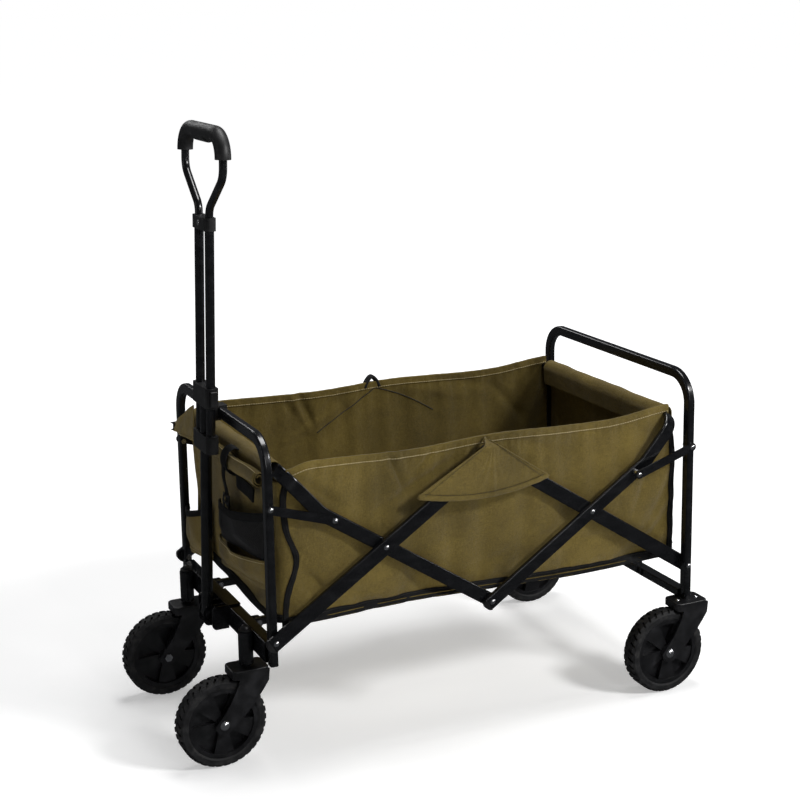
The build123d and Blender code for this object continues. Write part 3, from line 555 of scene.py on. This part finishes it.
def seam_rear(z):
    return 0.388 - 0.014 * smooth(0.44, 0.52, z)


def side_bottom(x):
    return LOWER_Z + 0.007 * bump(x, -0.14, 0.16) - 0.003 * bump(x, 0.2, 0.15)


def side_rim(x):
    waves = 0.0030 * np.sin(x * 17 + 1)
    return 0.5225 + waves + 0.007 * smooth(0.24, 0.37, x) - 0.009 * smooth(-0.325, -0.365, x)


def side_wall(side, label):
    """One long wall: the rim and seams are held, and the cloth between them hangs a little full."""

    def point(u, v):
        z = LOWER_Z + (0.5235 - LOWER_Z) * v
        x = seam_front(z) * (1 - u) + seam_rear(z) * u
        z = side_bottom(x) * (1 - v) + side_rim(x) * v
        wave = 0.0012 * math.sin(x * 31 + side) * v
        return (MID_X + x, side * (WALL_Y - 0.0025 + wave - 0.004 * (1 - v) ** 3), z)

    if side > 0:
        sheet = Sheet(lambda u, v: point(1 - u, v), 111, 41)
    else:
        sheet = Sheet(point, 111, 41)
    flat = sheet.grid.copy()
    sheet.crumple(5 + side, 0.0022, 26)
    pinned = np.zeros(sheet.shape, bool)
    pinned[0, :] = pinned[-1, :] = True
    pinned[:, 0] = pinned[:, -1] = True
    sheet.simulate(pinned, 0.012, bend=6.0)
    out = np.array([0, side, 0])
    moved = (sheet.grid - flat) @ out
    held = np.where(moved > 0, SHEET_LIMIT * np.tanh(moved / SHEET_LIMIT), 0.014 * np.tanh(moved / 0.014))
    sheet.grid += out * (held - moved)[..., None]
    sheet.finer(2)

    def at(x, z):
        return (MID_X + x, side * (WALL_Y - 0.002), z)

    creases = [
        ((-0.185, 0.521), (-0.152, 0.450), -0.0060, 0.0050),
        ((-0.168, 0.521), (-0.138, 0.450), 0.0045, 0.0060),
        ((-0.200, 0.515), (-0.176, 0.470), 0.0030, 0.0070),
        ((-0.352, 0.505), (-0.265, 0.435), -0.0050, 0.0090),
        ((-0.345, 0.480), (-0.300, 0.350), 0.0040, 0.0090),
        ((-0.330, 0.330), (-0.285, 0.270), -0.0050, 0.0070),
        ((-0.345, 0.300), (-0.305, 0.262), 0.0040, 0.0060),
        ((-0.270, 0.300), (-0.225, 0.275), -0.0035, 0.0080),
        ((0.020, 0.516), (0.200, 0.470), -0.0042, 0.0100),
        ((0.110, 0.518), (0.240, 0.490), 0.0035, 0.0080),
        ((0.240, 0.500), (0.330, 0.400), 0.0042, 0.0100),
        ((0.360, 0.480), (0.300, 0.330), -0.0042, 0.0090),
        ((-0.050, 0.500), (-0.210, 0.420), -0.0036, 0.0080),
        ((-0.100, 0.515), (-0.130, 0.480), -0.0036, 0.0050),
        ((-0.200, 0.300), (-0.020, 0.350), 0.0036, 0.0120),
        ((-0.060, 0.280), (0.060, 0.310), -0.0036, 0.0090),
        ((0.100, 0.330), (0.280, 0.290), -0.0036, 0.0110),
        ((0.330, 0.330), (0.365, 0.265), 0.0042, 0.0080),
    ]
    for start, end, height, width in creases:
        # The right wall has half of the outward creases, the left wall half of the inward ones.
        share = 0.5 if height * side < 0 else 1
        sheet.fold(at(*start), at(*end), height * share, width)
    wall = squash(sheet.solid(f"basket_wall_{label}", OLIVE, "basket_fabric"))
    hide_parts(f"basket_side_{label}")
    return sheet


def rim_hem(sheet, label):
    """The rim's turned hem, with a row of pale stitches outside and in."""
    top = slice(-5, None)
    squash(sheet.band(f"rim_hem_{label}", slice(None), top, HEM, OLIVE, "basket_fabric"))
    us = np.linspace(0.004, 0.996, 200)
    lines = []
    for lift in (0.0024, -0.0024):
        points, normals = sheet.line(us, np.full(200, 0.957), lift)
        lines.append((points, normals * math.copysign(1, lift)))
    squash(stitches(f"rim_stitches_{label}", lines, TAN_THREAD, radius=0.0008))


def side_bindings(sheet, side, label):
    """Black bias binding down both end seams and along the bottom edge."""
    first, last = slice(0, 4), slice(-4, None)
    front, rear = (last, first) if side > 0 else (first, last)
    below_rim, whole, lowest = slice(0, -5), slice(None), slice(0, 6)
    edges = (("front", front, below_rim), ("rear", rear, below_rim), ("bottom", whole, lowest))
    for end, columns, rows in edges:
        squash(sheet.band(f"{end}_binding_{label}", columns, rows, BINDING, WEBBING))
    rows = [sheet.line(np.linspace(0, 1, 150), np.full(150, 0.054), 0.0030)]
    for u in (0.0095, 0.9905):
        rows.append(sheet.line(np.full(60, u), np.linspace(0.06, 0.95, 60), 0.0026))
    squash(stitches(f"binding_stitches_{label}", rows, DARK_THREAD, 0.004, 0.003))


def flap(side, label):
    """Cover over the scissor's top: sewn to the wall at its apex and along two slanting seams,
    standing out over the bars, with a loose curved lower hem."""
    stand = BARS_Y + 0.0075
    apex = np.array([-0.004, WALL_Y + 0.0012, 0.5225])
    left = np.array([-0.146, stand - 0.001, 0.444])
    right = np.array([0.107, stand - 0.001, 0.446])

    def point(u, v):
        low = left * (1 - u) + right * u
        low[2] -= 0.0155 * math.sin(math.pi * u) ** 0.8
        low[1] += 0.0035 * math.sin(math.pi * u)
        p = low * (1 - v) + apex * v
        shoulder = smooth(1.0, 0.90, v) ** 0.6
        p[1] = low[1] * shoulder + apex[1] * (1 - shoulder)
        p[0] += 0.004 * math.sin(5 * v + 2) * math.sin(math.pi * u)
        return (MID_X + p[0], side * p[1], p[2])

    if side > 0:
        sheet = Sheet(lambda u, v: point(1 - u, v), 61, 31)
    else:
        sheet = Sheet(point, 61, 31)
    flat = sheet.grid.copy()
    sheet.crumple(11 + side, 0.002, 40)
    pinned = np.zeros(sheet.shape, bool)
    pinned[0, :] = pinned[-1, :] = True
    pinned[:, -1] = True
    pinned[:, -5:] = True
    sheet.simulate(pinned, 0.01, bend=0.4)
    moved = (sheet.grid - flat)[..., 1] * side
    held = np.where(moved > 0, 0.009 * np.tanh(moved / 0.009), 0.0015 * np.tanh(moved / 0.0015))
    sheet.grid[..., 1] += side * (held - moved)
    piece = squash(sheet.solid(f"scissor_cover_{label}", OLIVE, "basket_fabric"))
    hem, normals = sheet.line(np.linspace(0, 1, 60), np.full(60, 0.02))
    squash(sweep(f"cover_hem_{label}", hem, normals, flat_section(0.010, 0.0030), OLIVE))
    row, normals = sheet.line(np.linspace(0.02, 0.98, 60), np.full(60, 0.075), 0.0012)
    rows = [(row, normals)]
    for u in (0.0, 1.0):
        edge, normals = sheet.line(np.full(40, u), np.linspace(0.0, 0.97, 40))
        cord = round_section(0.0015)
        squash(sweep(f"cover_seam_{label}_{int(u)}", edge, normals, cord, OLIVE))
        rows.append(sheet.line(np.full(40, abs(u - 0.035)), np.linspace(0.05, 0.9, 40), 0.0012))
    squash(stitches(f"cover_stitches_{label}", rows, DARK_THREAD, 0.0042, 0.003, 0.0005))


def inner_seams(sheet, side, label):
    """Where the cover is sewn on, its two slanting seams show inside the wall."""
    lines = []
    for foot_x, foot_z in ((-0.132, 0.439), (0.115, 0.453)):
        t = np.linspace(0.0, 1.0, 50)
        x = -0.008 * (1 - t) + foot_x * t
        z = 0.512 * (1 - t) + foot_z * t + 0.006 * np.sin(math.pi * t) * (foot_x > 0)
        points = np.stack([MID_X + x, np.full(50, 0.0), z], axis=1)
        for index, p in enumerate(points):
            near = np.argmin(np.hypot(sheet.grid[..., 0] - p[0], sheet.grid[..., 2] - p[2]))
            points[index, 1] = sheet.grid.reshape(-1, 3)[near, 1]
        kernel = np.ones(7) / 7
        points[:, 1] = np.convolve(np.pad(points[:, 1], 3, "edge"), kernel, "valid")
        inward = np.broadcast_to((0, -side, 0), points.shape)
        lines.append((points + inward * 0.0014, inward))
    ridge = round_section(0.0012, 6)
    for index, (p, n) in enumerate(lines):
        name = f"inner_seam_{label}_{index}"
        squash(sweep(name, p - n * 0.0006, n, ridge, OLIVE))
    squash(stitches(f"inner_stitches_{label}", lines, DARK_THREAD, 0.0036, 0.0036, 0.0012))


# ---- basket: end walls --------------------------------------------------------------------
END_X = PANEL_X - 0.0015
CORNER_R = 0.036  # how far along the end wall its rounded corners reach
END_LOW = 0.256
FRONT_SLEEVE = 0.193  # half lengths of the sleeves round the cross tubes
REAR_SLEEVE = 0.203


def end_panel(end, label, body, node):
    """An end wall that wraps round both corners to the side seams."""
    seam = (lambda z: -seam_front(z)) if end < 0 else seam_rear

    def point(u, v):
        z = END_LOW + (0.4965 - END_LOW) * v
        start = seam(z)
        face = END_X - 0.001 - 0.003 * math.sin(math.pi * v) ** 2
        y_out = WALL_Y - 0.0025 - 0.004 * (1 - v) ** 3
        reach = face - start
        arc = math.hypot(reach, CORNER_R) * math.pi / 8**0.5
        half = y_out - CORNER_R
        s = (0.5 - abs(u - 0.5)) * 2 * (arc + half)
        if s < arc:
            turn = s / arc * math.pi / 2
            x, y = start + reach * math.sin(turn), half + CORNER_R * math.cos(turn)
        else:
            x, y = face, half - (s - arc)
        x -= 0.004 * math.exp(-((y / 0.15) ** 2)) * math.sin(math.pi * v)
        y = y if u < 0.5 else -y
        return (MID_X + end * x, y * -end, z + 0.004 * math.sin(6 * u) * (1 - v))

    sheet = Sheet(point, 81, 35)
    flat = sheet.grid.copy()
    sheet.crumple(21 + end, 0.0018, 28)
    pinned = np.zeros(sheet.shape, bool)
    pinned[:7, :] = pinned[-7:, :] = True
    pinned[:, 0] = pinned[:, -1] = True
    sheet.simulate(pinned, 0.010, bend=4.0)
    out = np.array([end, 0, 0])
    moved = (sheet.grid - flat) @ out
    held = np.where(moved > 0, 0.002 * np.tanh(moved / 0.002), 0.014 * np.tanh(moved / 0.014))
    sheet.grid += out * (held - moved)[..., None]
    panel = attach(sheet.solid(f"basket_end_{label}", OLIVE, "basket_fabric"), body)
    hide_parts(node)
    us = np.linspace(0, 1, 120)
    band = sheet.band(f"end_binding_{label}", slice(None), slice(0, 3), END_BINDING, WEBBING)
    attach(band, body)
    rows = [sheet.line(us, np.full(120, 0.045), lift) for lift in (0.0025, -0.0025)]
    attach(stitches(f"end_stitches_{label}", rows, DARK_THREAD, 0.004, 0.003, 0.0005), body)


def end_sleeve(end, label, body, half):
    """Sleeve sewn round the cross tube in the rim, its hem inside the basket."""
    inner_z, outer_z = 0.478, 0.482
    radius = TUBE_R + 0.0012

    def profile(v):
        """(x, z) round the tube, from the inner hem over the top to the outer hem."""
        rise_in, arc = TUBE_Z - inner_z, math.pi * radius
        total = rise_in + arc + (TUBE_Z - outer_z)
        s = v * total
        if s < rise_in:
            t = s / rise_in
            return TUBE_X - radius * (0.80 + 0.20 * t), inner_z + s
        if s < rise_in + arc:
            turn = (s - rise_in) / radius
            return TUBE_X - radius * math.cos(turn), TUBE_Z + radius * math.sin(turn)
        return TUBE_X + radius + 0.0006 * math.sin(s * 300), TUBE_Z - (s - rise_in - arc)

    def point(u, v):
        x, z = profile(v)
        y = half * (2 * u - 1)
        pucker = 0.0003 * math.sin(y * 95) + 0.0005 * math.sin(y * 33 + 2 * v + end)
        pucker += 0.0003 * math.sin(y * 61 - 3 * v)
        swell = 1 + (pucker + 0.0008) / radius
        x = TUBE_X + (x - TUBE_X) * swell
        z = TUBE_Z + (z - TUBE_Z) * (swell if z > TUBE_Z else 1)
        return (MID_X + end * x, y * end, z)

    sheet = Sheet(point, 101, 25)
    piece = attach(sheet.solid(f"rim_sleeve_{label}", OLIVE, "basket_fabric"), body)
    us = np.linspace(0.01, 0.99, 140)
    rows = [sheet.line(us, np.full(140, v), 0.0010) for v in (0.07, 0.93)]
    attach(stitches(f"sleeve_stitches_{label}", rows, TAN_THREAD), body)


def floor():
    """The basket's floor sags onto the rails."""

    def point(u, v):
        x = (seam_front(0.25) + 0.006) * (1 - u) + (seam_rear(0.25) - 0.006) * u
        y = (WALL_Y - 0.0075) * (2 * v - 1)
        sag = 0.012 * (math.sin(math.pi * u) * math.sin(math.pi * v)) ** 0.9
        edge = side_bottom(x) + 0.006
        return (MID_X + x, y, edge - sag + 0.002 * math.exp(-(((abs(y) - 0.105) / 0.012) ** 2)))

    sheet = Sheet(point, 91, 51)
    sheet.crumple(31, 0.0012, 30)
    piece = squash(sheet.solid("basket_floor_sheet", OLIVE, "basket_fabric"))
    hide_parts("basket_floor")


# ---- front end: pockets, strap, corner tab ------------------------------------------------
def pocket_surface(y_low, y_high, z_low, z_high, bulge, slope_top=0.0, slope_low=0.0):
    """Pocket front standing out from the front wall, full in the middle and closed at its sides."""

    def point(u, v):
        y = y_low * (1 - u) + y_high * u
        z = (z_low + slope_low * u) * (1 - v) + (z_high + slope_top * u) * v
        side = math.sin(math.pi * u) ** 0.55
        out = 0.003 + bulge * side * (0.35 + 0.65 * smooth(0, 0.5, v)) * (1 + 0.15 * math.sin(9 * u + 3 * v))
        return (MID_X - END_X - out, y, z - 0.006 * side * v)

    return point


def front_pockets():
    mesh = Sheet(pocket_surface(0.035, -0.205, 0.330, 0.392, 0.020, 0.045, 0.028), 97, 31)
    net = make("mesh_pocket_net", mesh.grid.reshape(-1, 3), mesh.diamonds(), NET_THREAD)
    wires = net.modifiers.new("net", "WIREFRAME")
    wires.thickness = 0.0012
    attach(bake(net), "front_end")
    # Painted shade: a near-black sheet inside the net stands in for the shade inside the pocket.
    shade_sheet = Sheet(pocket_surface(0.035, -0.205, 0.330, 0.388, 0.011, 0.045, 0.028), 40, 14)
    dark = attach(shade_sheet.solid("mesh_pocket_shade_sheet", NET_SHADE, thick=0.0006), "front_end")
    us = np.linspace(0, 1, 80)
    top, normals = mesh.line(us, np.ones(80))
    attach(sweep("mesh_pocket_binding", top, normals, flat_section(0.015, 0.0032), WEBBING), "front_end")
    base = Sheet(pocket_surface(0.038, -0.206, 0.283, 0.334, 0.020, 0.028, 0.030), 61, 17)
    base.crumple(41, 0.0022, 60)
    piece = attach(base.solid("mesh_pocket_base", OLIVE, "basket_fabric"), "front_end")
    rows = [base.line(us, np.full(80, 0.9), 0.0011)]
    low, normals = base.line(us, np.zeros(80))
    hem = flat_section(0.009, 0.003)
    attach(sweep("mesh_pocket_hem", low, normals, hem, OLIVE), "front_end")
    far = Sheet(pocket_surface(0.219, 0.090, 0.246, 0.330, 0.022, 0.030, 0.020), 45, 27)
    far.crumple(43, 0.0022, 55)
    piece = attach(far.solid("side_pocket", OLIVE, "basket_fabric"), "front_end")
    top, normals = far.line(us, np.ones(80))
    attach(sweep("side_pocket_binding", top, normals, flat_section(0.012, 0.0032), WEBBING), "front_end")
    rows.append(far.line(us, np.full(80, 0.08), 0.0011))
    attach(stitches("pocket_stitches", rows, TAN_THREAD), "front_end")


def catmull(points, per_span=10):
    """Smooth line through a few points."""
    points = np.asarray(points, float)
    padded = np.vstack([2 * points[0] - points[1], points, 2 * points[-1] - points[-2]])
    line = []
    for a, b, c, d in zip(padded, padded[1:], padded[2:], padded[3:]):
        square, cube = 2 * a - 5 * b + 4 * c - d, 3 * b - a - 3 * c + d
        for t in np.arange(per_span) / per_span:
            line.append(0.5 * (2 * b + (c - a) * t + square * t**2 + cube * t**3))
    return np.array(line + [points[-1]])


ROLL_X = 0.4000  # the rolled cover's axis, ahead of the middle
ROLL_Z = 0.4965


def rolled_cover():
    """Spare flap of the front wall, rolled up and hung along the rim's outside."""

    def point(u, v):
        turn = 0.6 + v * 4.2 * math.pi
        radius = 0.0045 + 0.0085 * v + 0.0005 * math.sin(7 * u + 3 * v)
        y = 0.098 * (1 - u) - 0.188 * u
        sag = 0.004 * math.sin(math.pi * u) + 0.0012 * math.sin(13 * u)
        x = ROLL_X + radius * 0.92 * math.cos(turn)
        return (MID_X - x, y, ROLL_Z - sag + radius * 1.12 * math.sin(turn))

    sheet = Sheet(point, 60, 90)
    piece = sheet.solid("rolled_cover", OLIVE, "basket_fabric", thick=0.0011, levels=0)
    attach(piece, "front_end")
    rows = [sheet.line(np.linspace(0.01, 0.99, 120), np.full(120, 0.985), 0.0009)]
    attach(stitches("rolled_cover_stitches", rows, TAN_THREAD), "front_end")


def front_strap():
    """Webbing buckled round the rolled cover, with its loose end along the roll."""
    y = -0.058
    around = []
    for turn in np.linspace(math.radians(125), math.radians(-118), 9):
        around.append((-(ROLL_X + 0.0165 * math.cos(turn)), y, ROLL_Z - 0.001 + 0.0225 * math.sin(turn)))
    tail = [
        (-(ROLL_X + 0.0005), y - 0.022, ROLL_Z - 0.030), (-(ROLL_X + 0.002), y - 0.050, ROLL_Z - 0.031),
        (-(ROLL_X + 0.004), y - 0.085, ROLL_Z - 0.030), (-(ROLL_X + 0.003), y - 0.108, ROLL_Z - 0.034),
    ]
    wrap = catmull(around + tail)
    tangent = unit(np.gradient(wrap, axis=0))
    lying = smooth(0.60, 0.78, np.linspace(0, 1, len(wrap)))[:, None]
    across = (1 - lying) * np.array((0.0, 1.0, 0.0)) + lying * np.array((0.0, 0.0, 1.0))
    normals = unit(np.cross(tangent, across))
    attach(sweep("rim_strap", place(wrap), normals, flat_section(0.026, 0.0032), WEBBING), "front_end")
    hanging = catmull([
        (-(ROLL_X + 0.0150), y + 0.004, ROLL_Z - 0.012), (-(ROLL_X + 0.0130), y + 0.012, ROLL_Z - 0.034),
        (-(ROLL_X + 0.0070), y + 0.017, ROLL_Z - 0.060), (-(ROLL_X + 0.0050), y + 0.015, ROLL_Z - 0.088),
    ])
    section = flat_section(0.016, 0.0022)
    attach(sweep("strap_tail", place(hanging), (-1.0, 0.0, 0.0), section, WEBBING), "front_end")
    buckle()


def buckle():
    """Ladder buckle: a frame with a middle bar, at the strap's end."""
    x_out = ROLL_X + 0.0075
    centre_y, centre_z = -0.042, TUBE_Z - 0.094
    bars = []
    for dz in (-0.014, 0.0, 0.014):
        bars.append([(-x_out, centre_y - 0.013, centre_z + dz), (-x_out - 0.002, centre_y, centre_z + dz),
                     (-x_out, centre_y + 0.013, centre_z + dz)])
    for dy in (-0.0135, 0.0135):
        bars.append([(-x_out, centre_y + dy, centre_z - 0.0155), (-x_out - 0.0015, centre_y + dy, centre_z),
                     (-x_out, centre_y + dy, centre_z + 0.0155)])
    section = flat_section(0.0036, 0.0034)
    for index, bar in enumerate(bars):
        line = place(catmull(bar, 5))
        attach(sweep(f"strap_buckle_{index}", line, (-1.0, 0.0, 0.0), section, PLASTIC), "front_end")


def corner_tab():
    """Three-cornered tab of the front wall wrapped outward round the far front leg."""
    leg_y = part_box("front_frame")[1].y
    face = MID_X - FRONT_X + 0.0095

    def point(u, v):
        y = 0.118 + (leg_y + 0.004 - 0.118) * u
        top = 0.552 + (0.489 - 0.552) * u
        low = 0.487 + (0.476 - 0.487) * u
        z = low + (top - low) * v
        x = face + 0.003 * math.sin(math.pi * u) * (1 - 0.5 * v) + 0.001 * math.sin(14 * u + 5 * v)
        return (MID_X - x, y, z)

    sheet = Sheet(lambda u, v: point(1 - u, v), 31, 21)
    sheet.crumple(51, 0.0014, 70)
    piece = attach(sheet.solid("corner_tab", OLIVE, "basket_fabric"), "front_end")
    edge, normals = sheet.line(np.linspace(0, 1, 40), np.zeros(40))
    hem = flat_section(0.006, 0.0026)
    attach(sweep("corner_tab_hem", edge, normals, hem, OLIVE), "front_end")
    tip = place(catmull([
        (-face - 0.001, leg_y - 0.002, 0.486),
        (-face - 0.001, leg_y + 0.007, 0.482),
        (-face + 0.006, leg_y + 0.011, 0.478),
    ], 5))
    section = flat_section(0.003, 0.014)
    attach(sweep("corner_tab_tip", tip, (0.0, 0.0, 1.0), section, WEBBING), "front_end")


def rim_tab():
    """Folded webbing tab standing at the left wall's rim over the cover's apex."""
    foot, tip = -0.030, -0.013
    line = catmull([
        (foot, WALL_Y + 0.0015, RIM_Z - 0.010), (foot + 0.007, WALL_Y + 0.0030, RIM_Z + 0.003),
        (tip, WALL_Y + 0.0040, RIM_Z + 0.0105), (tip + 0.009, WALL_Y + 0.0030, RIM_Z + 0.002),
        (tip + 0.014, WALL_Y + 0.0015, RIM_Z - 0.010),
    ])
    tangent = unit(np.gradient(line, axis=0))
    normals = unit(np.cross(tangent, np.broadcast_to((0.0, 1.0, 0.0), tangent.shape)))
    squash(sweep("rim_tab", place(line), normals, flat_section(0.016, 0.0070), WEBBING))


# ---- studio -------------------------------------------------------------------------------
def studio():
    scene = bpy.context.scene
    scene.view_settings.view_transform = "Standard"
    m = Nodes("glowing_pale_floor")
    speck = m.noise(3.0, 2.0)
    m.colour(speck, 0.3, 0.7, (0.86, 0.86, 0.86), (0.90, 0.90, 0.90))
    m.roughness(speck, 0.85, 0.95)
    m.set(Emission_Color=(1, 1, 1, 1))
    # The floor glows though it is no lamp: painted light, its emission rising from 0.38 within 0.9 m of the
    # middle to 0.95 beyond 3 m.
    away = m.new("ShaderNodeVectorMath", operation="LENGTH")
    m.link(m.place, away.inputs[0])
    glow = m.new("ShaderNodeMapRange")
    for socket, value in (("From Min", 0.9), ("From Max", 3.0), ("To Min", 0.38), ("To Max", 0.95)):
        glow.inputs[socket].default_value = value
    m.link(away.outputs["Value"], glow.inputs["Value"])
    m.link(glow.outputs["Result"], m.shader.inputs["Emission Strength"])
    ring = [(60 * math.cos(t * math.pi / 32), 60 * math.sin(t * math.pi / 32), -0.0005) for t in range(64)]
    ground = make("studio_floor", ring, [tuple(range(64))], m.material)
    ground.visible_glossy = False
    world = bpy.data.worlds.new("studio")
    scene.world = world
    world.use_nodes = True
    tree = world.node_tree
    background = tree.nodes["Background"]
    background.inputs["Color"].default_value = (0.93, 0.96, 1.0, 1)
    background.inputs["Strength"].default_value = 0.06
    backdrop = tree.nodes.new("ShaderNodeBackground")
    backdrop.inputs["Color"].default_value = (1, 1, 1, 1)
    seen = tree.nodes.new("ShaderNodeLightPath")
    mix = tree.nodes.new("ShaderNodeMixShader")
    tree.links.new(seen.outputs["Is Camera Ray"], mix.inputs["Fac"])
    tree.links.new(background.outputs["Background"], mix.inputs[1])
    tree.links.new(backdrop.outputs["Background"], mix.inputs[2])
    tree.links.new(mix.outputs["Shader"], tree.nodes["World Output"].inputs["Surface"])
    lamps = [
        ("key", (2.0, -2.9, 2.7), 0.8, 0.6, 105),
        ("top", (0.3, 0.2, 3.2), 1.6, 1.1, 58),
        ("side", (3.0, -0.6, 1.2), 0.25, 1.6, 12),
        ("strip", (0.1, -3.6, 1.9), 0.25, 1.8, 12),
        ("fill", (-3.2, 0.4, 1.6), 0.25, 1.6, 3),
        ("back", (-0.6, 3.2, 2.4), 2.0, 0.4, 14),
    ]
    target = Vector((0, 0, 0.4))
    for name, where, width, height, power in lamps:
        lamp = bpy.data.lights.new(name, "AREA")
        lamp.shape = "RECTANGLE"
        lamp.size, lamp.size_y = width, height
        lamp.energy = power
        obj = bpy.data.objects.new(name, lamp)
        obj.location = where
        obj.rotation_euler = (target - Vector(where)).to_track_quat("-Z", "Y").to_euler()
        scene.collection.objects.link(obj)


def camera():
    """Camera at the photograph's angle: turned to the wagon's right front and slightly down."""
    yaw, pitch, roll = math.radians(-24.73), math.radians(11.83), math.radians(-0.99)
    ahead = Vector((-math.sin(yaw) * math.cos(pitch), math.cos(yaw) * math.cos(pitch), -math.sin(pitch)))
    level = Vector((math.cos(yaw), math.sin(yaw), 0))
    up = level.cross(ahead)
    right = math.cos(roll) * level + math.sin(roll) * up
    top = -math.sin(roll) * level + math.cos(roll) * up
    data = bpy.data.cameras.new("camera")
    data.sensor_width = 36
    data.lens = 73.3
    data.shift_x = 0.013
    data.shift_y = -0.102
    obj = bpy.data.objects.new("camera", data)
    turn = Matrix((right, top, -ahead)).transposed().to_4x4()
    obj.matrix_world = Matrix.Translation((-1.2076, -2.5855, 1.2923)) @ turn
    bpy.context.scene.collection.objects.link(obj)
    bpy.context.scene.camera = obj


# ---- the scene ----------------------------------------------------------------------------
dress_frame()
for side, label in ((1, "left"), (-1, "right")):
    wall_sheet = side_wall(side, label)
    rim_hem(wall_sheet, label)
    side_bindings(wall_sheet, side, label)
    flap(side, label)
    inner_seams(wall_sheet, side, label)
end_panel(-1, "front", "front_end", "basket_front")
end_panel(1, "rear", "rear_end", "basket_rear")
end_sleeve(-1, "front", "front_end", FRONT_SLEEVE)
end_sleeve(1, "rear", "rear_end", REAR_SLEEVE)
floor()
front_pockets()
rolled_cover()
front_strap()
rim_tab()
corner_tab()
studio()
camera()
